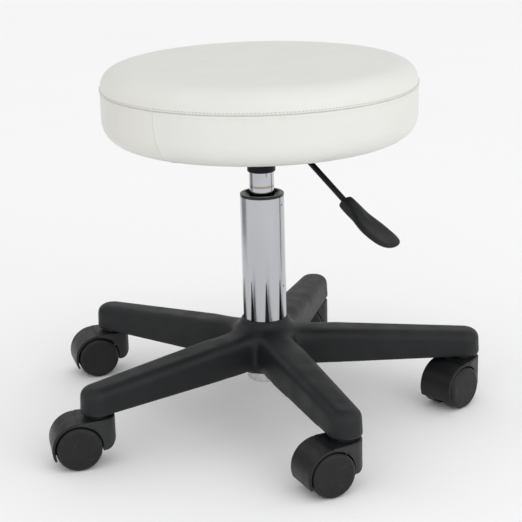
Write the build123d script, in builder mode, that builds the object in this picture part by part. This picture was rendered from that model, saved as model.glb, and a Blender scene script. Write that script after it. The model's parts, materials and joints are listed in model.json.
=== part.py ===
from build123d import *
from math import cos, radians, sin, tan
import os

os.makedirs("parts", exist_ok=True)

# A round, height-adjustable pedicure stool on a five-armed base with twin-wheel casters.
# Origin: on the floor, under the middle of the column. +Z is up. One base arm points along -Y.
# The seat stands at its lowest height, and the casters are turned the way they stand in use.

# ---------------------------------------------------------------- driving sizes (mm)
# seat cushion
seat_radius = 175.5
seat_thickness = 81.6
top_edge_radius = 22.5
bottom_edge_radius = 25.0
seam_below_top = 25.0
cover_thickness = 1.2
cover_margin_width = 18.0
board_thickness = 12.0
board_edge_margin = 4.0
dust_cover_thickness = 0.6
staple_count = 28

# mounting plate and taper socket under the seat
plate_side = 160.0
plate_thickness = 2.5
plate_corner_radius = 15.0
bolt_spacing = 120.0
bolt_thread_radius = 3.0
cup_radius = 42.0
cup_depth = 22.1
socket_wall = 2.0
socket_below_cup = 18.0
socket_above_floor = 4.0
socket_lead_in = 2.0

# gas lift
cylinder_radius = 14.0
cylinder_wall = 1.6
cylinder_show = 25.0
cone_slope = 0.0251
piston_rod_radius = 5.0
seat_travel = 127.0
valve_pin_radius = 4.0

# column
sleeve_radius = 25.0
sleeve_wall = 1.6
sleeve_length = 144.0
column_wall = 1.5
column_below_hub = 16.5
collar_height = 3.0
bush_foot = 10.0
slit_count = 9
slit_length = 47.0
slit_width = 4.6

# height lever
lever_direction = -67.0
lever_rod_radius = 3.2
lever_pivot_reach = 30.0
lever_bend_reach = 60.5
lever_slope = 33.5
lever_top_gap = 3.5
paddle_start_reach = 129.5
paddle_length = 80.0
paddle_width = 30.0
paddle_rise = 9.8

# base
caster_circle_radius = 231.9
arm_count = 5
arm_tip_radius = 18.7
arm_root_radius = 22.5
arm_tip_height = 28.1
arm_rise = 0.0625
arm_edge_radius = 11.0
arm_draft = 2.5
base_wall = 4.0
hub_wall = 15.0
hub_drop = 4.4
hub_rise = 54.6
rib_thickness = 3.0
rib_count = 4

# casters
wheel_radius = 25.0
wheel_outer_face = 23.4
wheel_inner_face = 5.8
wheel_edge_radius = 5.0
caster_trail = 23.8
hood_wall = 2.6
hood_half_width = 21.6
hood_edge_radius = 2.0
swivel_height = 4.4
web_half_width = 5.0
stem_radius = 5.5
stem_depth = 22.0
axle_radius = 3.0

# the way each caster is turned, from its stem towards its axle, for arms 1 to 5
caster_headings = [185.4, 204.2, 185.0, 177.3, 173.1]

# ---------------------------------------------------------------- clearances (mm)
running_gap = 0.05
loose_gap = 0.3
swivel_gap = 0.2
wheel_gap = 1.4


def save(piece, label):
    """Name a finished piece and write it to its own STEP file."""
    piece.label = label
    export_step(piece, f"parts/{label}.step")


def turned(points):
    """A closed profile of (radius, height) points, turned about the column."""
    with BuildPart() as piece:
        with BuildSketch(Plane.XZ):
            with BuildLine():
                Polyline(*points, close=True)
            make_face()
        revolve(axis=Axis.Z)
    return piece.part


# ---------------------------------------------------------------- heights, from the floor up
hood_radius = wheel_radius + wheel_gap + hood_wall
arm_bottom_z = wheel_radius + hood_radius + swivel_height
arm_top_at_tip_z = arm_bottom_z + arm_tip_height
hub_bottom_z = arm_bottom_z - hub_drop
hub_top_z = arm_bottom_z + hub_rise
hub_radius = sleeve_radius + hub_wall
column_bottom_z = hub_bottom_z - column_below_hub
column_top_z = hub_top_z + sleeve_length
collar_top_z = column_top_z + collar_height
socket_radius = cylinder_radius + socket_wall
socket_bottom_z = collar_top_z + cylinder_show
cup_bottom_z = socket_bottom_z + socket_below_cup
cup_floor_z = cup_bottom_z + plate_thickness
socket_top_z = cup_floor_z + socket_above_floor
plate_bottom_z = cup_bottom_z + cup_depth
board_bottom_z = plate_bottom_z + plate_thickness
board_top_z = board_bottom_z + board_thickness
board_radius = seat_radius - bottom_edge_radius - board_edge_margin
seat_bottom_z = board_bottom_z - cover_thickness
seat_top_z = seat_bottom_z + seat_thickness
seam_z = seat_top_z - seam_below_top

# ================================================================ SEAT
cover_inner_radius = seat_radius - cover_thickness
top_flat_radius = seat_radius - top_edge_radius
bottom_flat_radius = seat_radius - bottom_edge_radius
margin_radius = board_radius - cover_margin_width


def rounded_corner(centre_r, centre_z, radius, start_angle):
    """A quarter-round of the cushion's outline."""
    CenterArc((centre_r, centre_z), radius, start_angle, 90)


with BuildPart() as seat_cover_top:
    with BuildSketch(Plane.XZ):
        with BuildLine():
            Line((0, seat_top_z), (top_flat_radius, seat_top_z))
            rounded_corner(top_flat_radius, seat_top_z - top_edge_radius, top_edge_radius, 0)
            Line((seat_radius, seat_top_z - top_edge_radius), (seat_radius, seam_z))
            Line((seat_radius, seam_z), (cover_inner_radius, seam_z))
            Line((cover_inner_radius, seam_z), (cover_inner_radius, seat_top_z - top_edge_radius))
            rounded_corner(
                top_flat_radius, seat_top_z - top_edge_radius, top_edge_radius - cover_thickness, 0
            )
            Line((top_flat_radius, seat_top_z - cover_thickness), (0, seat_top_z - cover_thickness))
            Line((0, seat_top_z - cover_thickness), (0, seat_top_z))
        make_face()
    revolve(axis=Axis.Z)
save(seat_cover_top.part, "seat_cover_top")

bottom_arc_z = seat_bottom_z + bottom_edge_radius
with BuildPart() as seat_cover_band:
    with BuildSketch(Plane.XZ):
        with BuildLine():
            Line((seat_radius, seam_z), (seat_radius, bottom_arc_z))
            rounded_corner(bottom_flat_radius, bottom_arc_z, bottom_edge_radius, -90)
            Line((bottom_flat_radius, seat_bottom_z), (margin_radius, seat_bottom_z))
            Line((margin_radius, seat_bottom_z), (margin_radius, board_bottom_z))
            Line((margin_radius, board_bottom_z), (bottom_flat_radius, board_bottom_z))
            rounded_corner(
                bottom_flat_radius, bottom_arc_z, bottom_edge_radius - cover_thickness, -90
            )
            Line((cover_inner_radius, bottom_arc_z), (cover_inner_radius, seam_z))
            Line((cover_inner_radius, seam_z), (seat_radius, seam_z))
        make_face()
    revolve(axis=Axis.Z)
save(seat_cover_band.part, "seat_cover_band")

with BuildPart() as seat_foam:
    with BuildSketch(Plane.XZ):
        with BuildLine():
            Line((0, board_top_z), (board_radius, board_top_z))
            Line((board_radius, board_top_z), (board_radius, board_bottom_z))
            Line((board_radius, board_bottom_z), (bottom_flat_radius, board_bottom_z))
            rounded_corner(
                bottom_flat_radius, bottom_arc_z, bottom_edge_radius - cover_thickness, -90
            )
            Line(
                (cover_inner_radius, bottom_arc_z),
                (cover_inner_radius, seat_top_z - top_edge_radius),
            )
            rounded_corner(
                top_flat_radius, seat_top_z - top_edge_radius, top_edge_radius - cover_thickness, 0
            )
            Line((top_flat_radius, seat_top_z - cover_thickness), (0, seat_top_z - cover_thickness))
            Line((0, seat_top_z - cover_thickness), (0, board_top_z))
        make_face()
    revolve(axis=Axis.Z)
save(seat_foam.part, "seat_foam")

# ---- board, held to the plate by four screws in tee nuts
tee_barrel_radius = bolt_thread_radius + 1.0
tee_flange_radius = 9.0
tee_flange_thickness = 1.5
tee_barrel_length = 9.0

with BuildPart() as seat_board:
    with BuildSketch(Plane.XY.offset(board_bottom_z)):
        Circle(board_radius)
    extrude(amount=board_thickness)
    with Locations((0, 0, board_top_z)):
        with GridLocations(bolt_spacing, bolt_spacing, 2, 2):
            CounterBoreHole(tee_barrel_radius, tee_flange_radius, tee_flange_thickness)
save(seat_board.part, "seat_board")

with BuildPart() as tee_nuts:
    with BuildSketch(Plane.XY.offset(board_top_z - tee_flange_thickness)):
        with GridLocations(bolt_spacing, bolt_spacing, 2, 2):
            Circle(tee_flange_radius)
    extrude(amount=tee_flange_thickness)
    with BuildSketch(Plane.XY.offset(board_top_z - tee_flange_thickness)):
        with GridLocations(bolt_spacing, bolt_spacing, 2, 2):
            Circle(tee_barrel_radius)
    extrude(amount=-tee_barrel_length)
    with BuildSketch(Plane.XY.offset(board_top_z)):
        with GridLocations(bolt_spacing, bolt_spacing, 2, 2):
            Circle(bolt_thread_radius)
    extrude(amount=-(tee_barrel_length + tee_flange_thickness), mode=Mode.SUBTRACT)
save(tee_nuts.part, "tee_nuts")

# ---- dust cover: a black cloth disc stapled over the cover's margin, cut out round the plate
dust_cover_radius = board_radius - 5.0
plate_cutout_gap = 2.0
with BuildPart() as dust_cover:
    with BuildSketch(Plane.XY.offset(seat_bottom_z)):
        Circle(dust_cover_radius)
        RectangleRounded(
            plate_side + 2 * plate_cutout_gap,
            plate_side + 2 * plate_cutout_gap,
            plate_corner_radius + plate_cutout_gap,
            mode=Mode.SUBTRACT,
        )
    extrude(amount=-dust_cover_thickness)
save(dust_cover.part, "dust_cover")

staple_width = 10.0
staple_wire = 0.9
staple_leg = 7.0
staple_circle_radius = (margin_radius + dust_cover_radius) / 2
staple_crown_z = seat_bottom_z - dust_cover_thickness
with BuildPart() as staples:
    with BuildSketch(Plane.XY.offset(staple_crown_z)):
        with PolarLocations(staple_circle_radius, staple_count):
            Rectangle(staple_wire, staple_width)
    extrude(amount=-staple_wire)
    with BuildSketch(Plane.XY.offset(staple_crown_z)):
        with PolarLocations(staple_circle_radius, staple_count):
            with GridLocations(0, staple_width - staple_wire, 1, 2):
                Rectangle(staple_wire, staple_wire)
    extrude(amount=staple_leg)
save(staples.part, "staples")

# ---- mounting plate: square flange with a drawn cup that holds the taper socket
slot_width = 2 * lever_rod_radius + 2.0
slot_height = 4 * lever_rod_radius
cup_corner_radius = 3.0
bolt_hole_radius = bolt_thread_radius + 0.3
lever_frame = Plane(
    origin=(0, 0, 0),
    x_dir=(cos(radians(lever_direction)), sin(radians(lever_direction)), 0),
    z_dir=(0, 0, 1),
)

with BuildPart() as seat_plate:
    with BuildSketch(Plane.XY.offset(plate_bottom_z)):
        RectangleRounded(plate_side, plate_side, plate_corner_radius)
    extrude(amount=plate_thickness)
    with BuildSketch(Plane.XY.offset(cup_bottom_z)):
        Circle(cup_radius)
    extrude(amount=cup_depth)
    fillet(seat_plate.faces().sort_by(Axis.Z)[0].edges(), cup_corner_radius + plate_thickness)
    with BuildSketch(Plane.XY.offset(board_bottom_z)):
        Circle(cup_radius - plate_thickness)
    extrude(amount=-(board_bottom_z - cup_floor_z), mode=Mode.SUBTRACT)
    cup_inside = seat_plate.edges().filter_by(GeomType.CIRCLE).group_by(Axis.Z)
    fillet(
        [e for g in cup_inside for e in g
         if abs(e.center().Z - cup_floor_z) < 0.01 and e.radius > socket_radius],
        cup_corner_radius,
    )
    with BuildSketch(Plane.XY.offset(cup_floor_z)):
        Circle(socket_radius)
    extrude(amount=-plate_thickness, mode=Mode.SUBTRACT)
    with BuildSketch(Plane.XY.offset(board_bottom_z)):
        with GridLocations(bolt_spacing, bolt_spacing, 2, 2):
            Circle(bolt_hole_radius)
    extrude(amount=-plate_thickness, mode=Mode.SUBTRACT)
    slot_frame = lever_frame.offset(plate_bottom_z)
    with BuildSketch(slot_frame):
        with Locations((cup_radius - plate_thickness, 0)):
            Rectangle(4 * plate_thickness, slot_width)
    extrude(amount=-slot_height, mode=Mode.SUBTRACT)
save(seat_plate.part, "seat_plate")

washer_radius = 6.2
washer_thickness = 1.5
bolt_head_radius = 5.6
bolt_head_height = 4.0
bolt_head_top_z = plate_bottom_z - washer_thickness
bolt_grip = board_top_z - bolt_head_top_z - 1.0

with BuildPart() as plate_washers:
    with BuildSketch(Plane.XY.offset(plate_bottom_z)):
        with GridLocations(bolt_spacing, bolt_spacing, 2, 2):
            Circle(washer_radius)
            Circle(bolt_hole_radius, mode=Mode.SUBTRACT)
    extrude(amount=-washer_thickness)
save(plate_washers.part, "plate_washers")

with BuildPart() as plate_bolts:
    with BuildSketch(Plane.XY.offset(bolt_head_top_z)):
        with GridLocations(bolt_spacing, bolt_spacing, 2, 2):
            RegularPolygon(bolt_head_radius, 6)
    extrude(amount=-bolt_head_height)
    with BuildSketch(Plane.XY.offset(bolt_head_top_z)):
        with GridLocations(bolt_spacing, bolt_spacing, 2, 2):
            Circle(bolt_thread_radius - running_gap)
    extrude(amount=bolt_grip)
save(plate_bolts.part, "plate_bolts")

# ================================================================ GAS LIFT, UPPER PART
socket_flange_thickness = 2.5
socket_flange_radius = socket_radius + 6.0
cone_start_z = socket_bottom_z + socket_lead_in
cylinder_top_z = socket_top_z + 2.0
cylinder_inner_radius = cylinder_radius - cylinder_wall


def cone_radius(z):
    """Outer radius of the pressure tube's tapered end."""
    return cylinder_radius - (z - cone_start_z) * cone_slope


with BuildPart() as taper_socket:
    with BuildSketch(Plane.XZ):
        with BuildLine():
            Polyline(
                (cone_radius(socket_top_z), socket_top_z),
                (socket_radius, socket_top_z),
                (socket_radius, cup_bottom_z),
                (socket_flange_radius, cup_bottom_z),
                (socket_flange_radius, cup_bottom_z - socket_flange_thickness),
                (socket_radius, cup_bottom_z - socket_flange_thickness),
                (socket_radius, socket_bottom_z),
                (cylinder_radius + loose_gap, socket_bottom_z),
                (cylinder_radius + loose_gap, cone_start_z),
                (cylinder_radius, cone_start_z),
                close=True,
            )
        make_face()
    revolve(axis=Axis.Z)
    lower_lip = (
        taper_socket.edges()
        .filter_by(GeomType.CIRCLE)
        .filter_by_position(Axis.Z, socket_bottom_z - 0.01, socket_bottom_z + 0.01)
        .sort_by(SortBy.RADIUS)[-1]
    )
    fillet(lower_lip, 1.2)
save(taper_socket.part, "taper_socket")

# the swivel bearing in the column's foot, and the buffer that the seat comes down on
cap_floor_thickness = 2.5
cap_floor_z = column_bottom_z + cap_floor_thickness
race_thickness = 2.0
race_radius = 14.0
ball_radius = 2.0
ball_count = 8
ball_circle_radius = 10.5
cage_thickness = 1.2
ball_bottom_z = cap_floor_z + race_thickness + running_gap
ball_centre_z = ball_bottom_z + ball_radius
upper_race_z = ball_centre_z + ball_radius
shoulder_z = upper_race_z + race_thickness
shoulder_height = 3.0
buffer_height = 7.15
buffer_bottom_z = shoulder_z + shoulder_height
buffer_top_z = buffer_bottom_z + buffer_height
cylinder_bottom_z = buffer_top_z + loose_gap

crimp_thickness = 1.6
crimp_radius = 8.0
end_thickness = 3.0
pin_hole_radius = valve_pin_radius + 0.6
save(
    turned([
        (cylinder_radius, cylinder_bottom_z),
        (cylinder_radius, cone_start_z),
        (cone_radius(cylinder_top_z), cylinder_top_z),
        (pin_hole_radius, cylinder_top_z),
        (pin_hole_radius, cylinder_top_z - end_thickness),
        (cone_radius(cylinder_top_z) - 1.2, cylinder_top_z - end_thickness),
        (cone_radius(cylinder_top_z) - 1.2, cone_start_z),
        (cylinder_inner_radius, cone_start_z - 4.0),
        (cylinder_inner_radius, cylinder_bottom_z + crimp_thickness),
        (crimp_radius, cylinder_bottom_z + crimp_thickness),
        (crimp_radius, cylinder_bottom_z),
    ]),
    "pressure_tube",
)

valve_length = 24.0
valve_top_z = cylinder_top_z - end_thickness
valve_body_radius = cone_radius(cylinder_top_z) - 1.2
valve_bore_bottom_z = valve_top_z - 21.0
save(
    turned([
        (0, valve_top_z - valve_length),
        (valve_body_radius, valve_top_z - valve_length),
        (valve_body_radius, valve_top_z),
        (valve_pin_radius + running_gap, valve_top_z),
        (valve_pin_radius + running_gap, valve_bore_bottom_z),
        (0, valve_bore_bottom_z),
    ]),
    "valve_body",
)

lever_axis_z = plate_bottom_z - lever_rod_radius - lever_top_gap
pin_top_z = lever_axis_z - lever_rod_radius - loose_gap
pin_bottom_z = valve_top_z - 14.0
with BuildPart() as valve_pin:
    with BuildSketch(Plane.XY.offset(pin_bottom_z)):
        Circle(valve_pin_radius)
    extrude(amount=pin_top_z - pin_bottom_z)
    fillet(valve_pin.faces().sort_by(Axis.Z)[-1].edges(), valve_pin_radius * 0.75)
save(valve_pin.part, "valve_pin")

gland_bottom_z = cylinder_bottom_z + crimp_thickness
gland_length = 18.0
save(
    turned([
        (piston_rod_radius + running_gap, gland_bottom_z),
        (cylinder_inner_radius, gland_bottom_z),
        (cylinder_inner_radius, gland_bottom_z + gland_length),
        (piston_rod_radius + running_gap, gland_bottom_z + gland_length),
    ]),
    "rod_gland",
)

# ================================================================ GAS LIFT, ROD AND BEARING
piston_length = 12.0
piston_top_z = valve_top_z - valve_length - 5.0
piston_bottom_z = piston_top_z - piston_length
spigot_radius = 3.5
clip_thickness = 1.2
clip_top_z = column_bottom_z - swivel_gap
clip_bottom_z = clip_top_z - clip_thickness
rod_end_z = clip_bottom_z - 2.0
groove_radius = piston_rod_radius - 1.0
shoulder_radius = 8.0

save(
    turned([
        (0, rod_end_z),
        (piston_rod_radius, rod_end_z),
        (piston_rod_radius, clip_bottom_z),
        (groove_radius, clip_bottom_z),
        (groove_radius, clip_top_z),
        (piston_rod_radius, clip_top_z),
        (piston_rod_radius, shoulder_z),
        (shoulder_radius, shoulder_z),
        (shoulder_radius, shoulder_z + shoulder_height),
        (piston_rod_radius, shoulder_z + shoulder_height),
        (piston_rod_radius, piston_bottom_z),
        (spigot_radius, piston_bottom_z),
        (spigot_radius, piston_top_z),
        (0, piston_top_z),
    ]),
    "piston_rod",
)


def ring(inner, outer, bottom_z, top_z):
    """A plain flat ring about the column."""
    return turned([(inner, bottom_z), (outer, bottom_z), (outer, top_z), (inner, top_z)])


save(
    ring(spigot_radius, cylinder_inner_radius - running_gap, piston_bottom_z, piston_top_z),
    "piston",
)
save(
    ring(piston_rod_radius + 0.4, race_radius, cap_floor_z, cap_floor_z + race_thickness),
    "thrust_washer_lower",
)
save(
    ring(piston_rod_radius, race_radius, upper_race_z, shoulder_z),
    "thrust_washer_upper",
)
save(
    ring(piston_rod_radius, race_radius - 1.0, buffer_bottom_z, buffer_top_z),
    "rubber_buffer",
)

with BuildPart() as ball_cage:
    with BuildSketch(Plane.XY.offset(ball_centre_z - cage_thickness / 2)):
        Circle(race_radius)
        Circle(piston_rod_radius + loose_gap, mode=Mode.SUBTRACT)
        with PolarLocations(ball_circle_radius, ball_count):
            Circle(ball_radius + 2 * running_gap, mode=Mode.SUBTRACT)
    extrude(amount=cage_thickness)
save(ball_cage.part, "ball_cage")

with BuildPart() as bearing_balls:
    with Locations((0, 0, ball_centre_z)):
        with PolarLocations(ball_circle_radius, ball_count):
            Sphere(ball_radius)
save(bearing_balls.part, "bearing_balls")

clip_radius = 9.0
clip_mouth = 7.0
with BuildPart() as retaining_clip:
    with BuildSketch(Plane.XY.offset(clip_bottom_z)):
        Circle(clip_radius)
        Circle(groove_radius, mode=Mode.SUBTRACT)
        with Locations((clip_radius, 0)):
            Rectangle(2 * clip_radius, clip_mouth, mode=Mode.SUBTRACT)
    extrude(amount=clip_thickness)
save(retaining_clip.part, "retaining_clip")

# ================================================================ COLUMN
column_radius = sleeve_radius - sleeve_wall - running_gap
taper_slope = 0.033
taper_top_z = hub_top_z
column_end_radius = column_radius - (taper_top_z - cap_floor_z) * taper_slope
column_inner_end_radius = column_end_radius - column_wall


def taper_radius(z):
    """Outer radius of the column tube's tapered lower end."""
    return column_radius - (taper_top_z - z) * taper_slope


save(
    turned([
        (column_end_radius, cap_floor_z),
        (column_radius, taper_top_z),
        (column_radius, column_top_z),
        (column_radius - column_wall, column_top_z),
        (column_radius - column_wall, taper_top_z),
        (column_inner_end_radius, cap_floor_z),
    ]),
    "column_tube",
)

cap_wall = 1.0
cap_height = 12.0
cap_top_z = column_bottom_z + cap_height
with BuildPart() as column_end_cap:
    with BuildSketch(Plane.XZ):
        with BuildLine():
            Polyline(
                (piston_rod_radius + loose_gap, column_bottom_z),
                (taper_radius(cap_top_z) + cap_wall, column_bottom_z),
                (taper_radius(cap_top_z) + cap_wall, cap_top_z),
                (taper_radius(cap_top_z), cap_top_z),
                (column_end_radius, cap_floor_z),
                (piston_rod_radius + loose_gap, cap_floor_z),
                close=True,
            )
        make_face()
    revolve(axis=Axis.Z)
    rim = (
        column_end_cap.edges()
        .filter_by(GeomType.CIRCLE)
        .filter_by_position(Axis.Z, column_bottom_z - 0.01, column_bottom_z + 0.01)
        .sort_by(SortBy.RADIUS)[-1]
    )
    fillet(rim, 2.0)
save(column_end_cap.part, "column_end_cap")

dimple_direction = -48.0
dimple_radius = 1.1
dimple_heights = [column_top_z - 9.0, column_top_z - 105.0]
finger_corner_radius = 1.5

with BuildPart() as chrome_sleeve:
    with BuildSketch(Plane.XY.offset(hub_top_z)):
        Circle(sleeve_radius)
        Circle(sleeve_radius - sleeve_wall, mode=Mode.SUBTRACT)
    extrude(amount=column_top_z - hub_top_z)
    for index in range(slit_count):
        turn = radians(-105.0 + index * 360.0 / slit_count)
        slit_plane = Plane(
            origin=(0, 0, 0), x_dir=(-sin(turn), cos(turn), 0), z_dir=(cos(turn), sin(turn), 0)
        )
        with BuildSketch(slit_plane):
            with BuildLine():
                Polyline(
                    (-slit_width / 2, hub_top_z),
                    (slit_width / 2, hub_top_z),
                    (0.3, hub_top_z + slit_length),
                    (-0.3, hub_top_z + slit_length),
                    close=True,
                )
            make_face()
        extrude(amount=sleeve_radius + 1.0, mode=Mode.SUBTRACT)
    for height in dimple_heights:
        turn = radians(dimple_direction)
        with BuildSketch(Plane(origin=(0, 0, height), z_dir=(cos(turn), sin(turn), 0))):
            Circle(dimple_radius)
        extrude(amount=sleeve_radius + 1.0, mode=Mode.SUBTRACT)
save(chrome_sleeve.part, "chrome_sleeve")

# the bush reaches below the cylinder's foot even with the seat fully raised
bush_radius = column_radius - column_wall
bush_bottom_z = cylinder_bottom_z + seat_travel - bush_foot
collar_rim = 4.0
funnel_depth = 5.0
with BuildPart() as guide_bush:
    with BuildSketch(Plane.XZ):
        with BuildLine():
            Polyline(
                (cylinder_radius + running_gap, bush_bottom_z),
                (bush_radius, bush_bottom_z),
                (bush_radius, column_top_z),
                (sleeve_radius, column_top_z),
                (sleeve_radius, collar_top_z),
                (sleeve_radius - collar_rim, collar_top_z),
                (cylinder_radius + 1.5, collar_top_z - funnel_depth),
                (cylinder_radius + running_gap, collar_top_z - funnel_depth),
                close=True,
            )
        make_face()
    revolve(axis=Axis.Z)
    collar_edges = (
        guide_bush.edges()
        .filter_by(GeomType.CIRCLE)
        .filter_by_position(Axis.Z, collar_top_z - 0.01, collar_top_z + 0.01)
    )
    fillet(collar_edges, 0.8)
save(guide_bush.part, "guide_bush")

# ================================================================ HEIGHT LEVER
lever_bend_radius = 14.0
lever_inner_end = -6.0
pivot_hub_radius = 4.1
pivot_hub_half_length = 5.0
lever_pin_radius = 2.0
slope_drop = tan(radians(lever_slope))
rod_end_reach = paddle_start_reach + 22.0

lever_side = Plane(
    origin=(0, 0, 0),
    x_dir=lever_frame.x_dir,
    z_dir=lever_frame.x_dir.cross(Vector(0, 0, 1)),
)


def slope_height(reach):
    """Height of the lever's sloping stretch at a distance from the column's axis."""
    return lever_axis_z - (reach - lever_bend_reach) * slope_drop


with BuildPart() as lever_rod:
    with BuildLine(lever_side) as lever_path:
        FilletPolyline(
            (lever_inner_end, lever_axis_z),
            (lever_bend_reach, lever_axis_z),
            (rod_end_reach, slope_height(rod_end_reach)),
            radius=lever_bend_radius,
        )
    with BuildSketch(Plane(origin=lever_path.line @ 0, z_dir=lever_path.line % 0)):
        Circle(lever_rod_radius)
    sweep()
    with BuildSketch(lever_side):
        with Locations((lever_pivot_reach, lever_axis_z)):
            Circle(pivot_hub_radius)
    extrude(amount=pivot_hub_half_length, both=True)
    with BuildSketch(lever_side):
        with Locations((lever_pivot_reach, lever_axis_z)):
            Circle(lever_pin_radius + running_gap)
    extrude(amount=2 * pivot_hub_half_length, both=True, mode=Mode.SUBTRACT)
save(lever_rod.part, "lever_rod")

ear_thickness = 2.0
ear_gap = pivot_hub_half_length + 0.3
ear_half_width = 5.0
ear_top_z = lever_axis_z + 4.0
bracket_foot_thickness = 2.0
with BuildPart() as lever_bracket:
    with BuildSketch(lever_frame.offset(cup_floor_z)):
        with Locations((lever_pivot_reach, 0)):
            Rectangle(2 * ear_half_width, 2 * (ear_gap + ear_thickness))
    extrude(amount=bracket_foot_thickness)
    with BuildSketch(lever_frame.offset(cup_floor_z)):
        with Locations((lever_pivot_reach, 0)):
            with GridLocations(0, 2 * ear_gap + ear_thickness, 1, 2):
                Rectangle(2 * ear_half_width, ear_thickness)
    extrude(amount=ear_top_z - cup_floor_z)
    with BuildSketch(lever_side):
        with Locations((lever_pivot_reach, lever_axis_z)):
            Circle(lever_pin_radius)
    extrude(amount=2 * ear_gap, both=True, mode=Mode.SUBTRACT)
save(lever_bracket.part, "lever_bracket")

with BuildPart() as lever_pin:
    with BuildSketch(lever_side):
        with Locations((lever_pivot_reach, lever_axis_z)):
            Circle(lever_pin_radius)
    extrude(amount=ear_gap + ear_thickness + 1.0, both=True)
save(lever_pin.part, "lever_pin")

# the paddle's round neck follows the lever's slope, and its flat blade curves up from it
slope_dir = Vector(
    lever_frame.x_dir.X * cos(radians(lever_slope)),
    lever_frame.x_dir.Y * cos(radians(lever_slope)),
    -sin(radians(lever_slope)),
)
across_dir = Vector(0, 0, 1).cross(lever_frame.x_dir)
paddle_up_dir = slope_dir.cross(across_dir)
paddle_origin = Vector(
    lever_frame.x_dir.X * paddle_start_reach,
    lever_frame.x_dir.Y * paddle_start_reach,
    slope_height(paddle_start_reach),
)
neck_radius = 7.8
paddle_sections = [
    (0.0, neck_radius, neck_radius),
    (0.18, neck_radius, 7.2),
    (0.42, 0.44 * paddle_width, 5.4),
    (0.68, 0.50 * paddle_width, 4.4),
    (0.90, 0.40 * paddle_width, 3.8),
    (1.0, 0.20 * paddle_width, 2.6),
]
with BuildPart() as lever_paddle:
    for share, half_width, half_thickness in paddle_sections:
        section_origin = (
            paddle_origin
            + slope_dir * (share * paddle_length)
            + paddle_up_dir * (share**2 * paddle_rise)
        )
        with BuildSketch(Plane(origin=section_origin, x_dir=across_dir, z_dir=slope_dir)):
            Ellipse(half_width, half_thickness)
    loft()
    with BuildSketch(Plane(origin=paddle_origin, x_dir=across_dir, z_dir=slope_dir)):
        Circle(lever_rod_radius)
    extrude(
        amount=(rod_end_reach - paddle_start_reach) / cos(radians(lever_slope)),
        mode=Mode.SUBTRACT,
    )
save(lever_paddle.part, "lever_paddle")

# ================================================================ BASE
hub_inner_shoulder = 2.5


def arm_top(reach, lowered):
    """Height of an arm's upper edge at a distance from the column's axis."""
    tip_reach = caster_circle_radius + arm_tip_radius
    return arm_top_at_tip_z - lowered + (tip_reach - reach) * arm_rise


def arm_block(inset, start_reach):
    """One arm along +X: drafted sides, sloping top and rounded edges, drawn in by inset."""
    tip_reach = caster_circle_radius + arm_tip_radius
    with BuildPart() as block:
        with BuildSketch(Plane.XY.offset(arm_bottom_z)):
            with Locations((caster_circle_radius, 0)):
                Circle(arm_tip_radius - inset)
            with Locations((start_reach, 0)):
                Circle(arm_root_radius - inset)
            make_hull()
        extrude(amount=2 * (arm_top_at_tip_z - arm_bottom_z))
        walls = block.faces().filter_by(Axis.Z, reverse=True)
        draft(walls, Plane.XY.offset(arm_bottom_z), arm_draft)
        with BuildSketch(Plane.XZ):
            with BuildLine():
                Polyline(
                    (start_reach, arm_bottom_z),
                    (tip_reach + 1, arm_bottom_z),
                    (tip_reach + 1, arm_top(tip_reach + 1, inset)),
                    (start_reach, arm_top(start_reach, inset)),
                    close=True,
                )
            make_face()
        extrude(amount=2 * arm_root_radius, both=True, mode=Mode.INTERSECT)
        top_edges = block.faces().sort_by(Axis.Z)[-1].edges().sort_by(Axis.X)
        fillet(top_edges[1:], arm_edge_radius - inset)
    return block.part


socket_bore_radius = stem_radius + 0.1
socket_boss_radius = socket_bore_radius + 5.0
rib_spacing = (caster_circle_radius - socket_boss_radius - hub_radius) / (rib_count + 1)
rib_reaches = [hub_radius + rib_spacing * (index + 1) for index in range(rib_count)]
arm_start_reach = 0.8 * hub_radius
pocket_start_reach = hub_radius + base_wall
arm_angles = [-90 + index * 360 / arm_count for index in range(arm_count)]
arm_shape = arm_block(0, arm_start_reach)
pocket_shape = arm_block(base_wall, pocket_start_reach)

with BuildPart() as arm_pocket:
    add(pocket_shape)
    with BuildSketch(Plane.XY.offset(arm_bottom_z)):
        with Locations((caster_circle_radius, 0)):
            Circle(socket_boss_radius)
        for reach in rib_reaches:
            with Locations((reach, 0)):
                Rectangle(rib_thickness, 4 * arm_root_radius)
    extrude(amount=hub_top_z - arm_bottom_z, mode=Mode.SUBTRACT)

hub_shoulder_z = arm_top(hub_radius, 0)
hub_rim_radius = sleeve_radius + hub_inner_shoulder
with BuildPart() as star_base:
    with BuildSketch(Plane.XZ):
        with BuildLine():
            Line((0, hub_bottom_z), (hub_radius, hub_bottom_z))
            Line((hub_radius, hub_bottom_z), (hub_radius, hub_shoulder_z))
            ThreePointArc(
                (hub_radius, hub_shoulder_z),
                (hub_rim_radius + 2.6, hub_shoulder_z + 0.42 * (hub_top_z - hub_shoulder_z)),
                (hub_rim_radius, hub_top_z),
            )
            Line((hub_rim_radius, hub_top_z), (0, hub_top_z))
            Line((0, hub_top_z), (0, hub_bottom_z))
        make_face()
    revolve(axis=Axis.Z)
    for angle in arm_angles:
        with Locations(Location((0, 0, 0), (0, 0, angle))):
            add(arm_shape)
            add(arm_pocket.part, mode=Mode.SUBTRACT)
    with BuildSketch(Plane.XZ):
        with BuildLine():
            Polyline(
                (0, hub_bottom_z),
                (taper_radius(hub_bottom_z), hub_bottom_z),
                (taper_radius(hub_top_z), hub_top_z),
                (0, hub_top_z),
                close=True,
            )
        make_face()
    revolve(axis=Axis.Z, mode=Mode.SUBTRACT)
    with BuildSketch(Plane.XY.offset(arm_bottom_z)):
        with PolarLocations(caster_circle_radius, arm_count, start_angle=-90):
            Circle(socket_bore_radius)
    extrude(amount=stem_depth + 1.5, mode=Mode.SUBTRACT)
save(star_base.part, "star_base")

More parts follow.
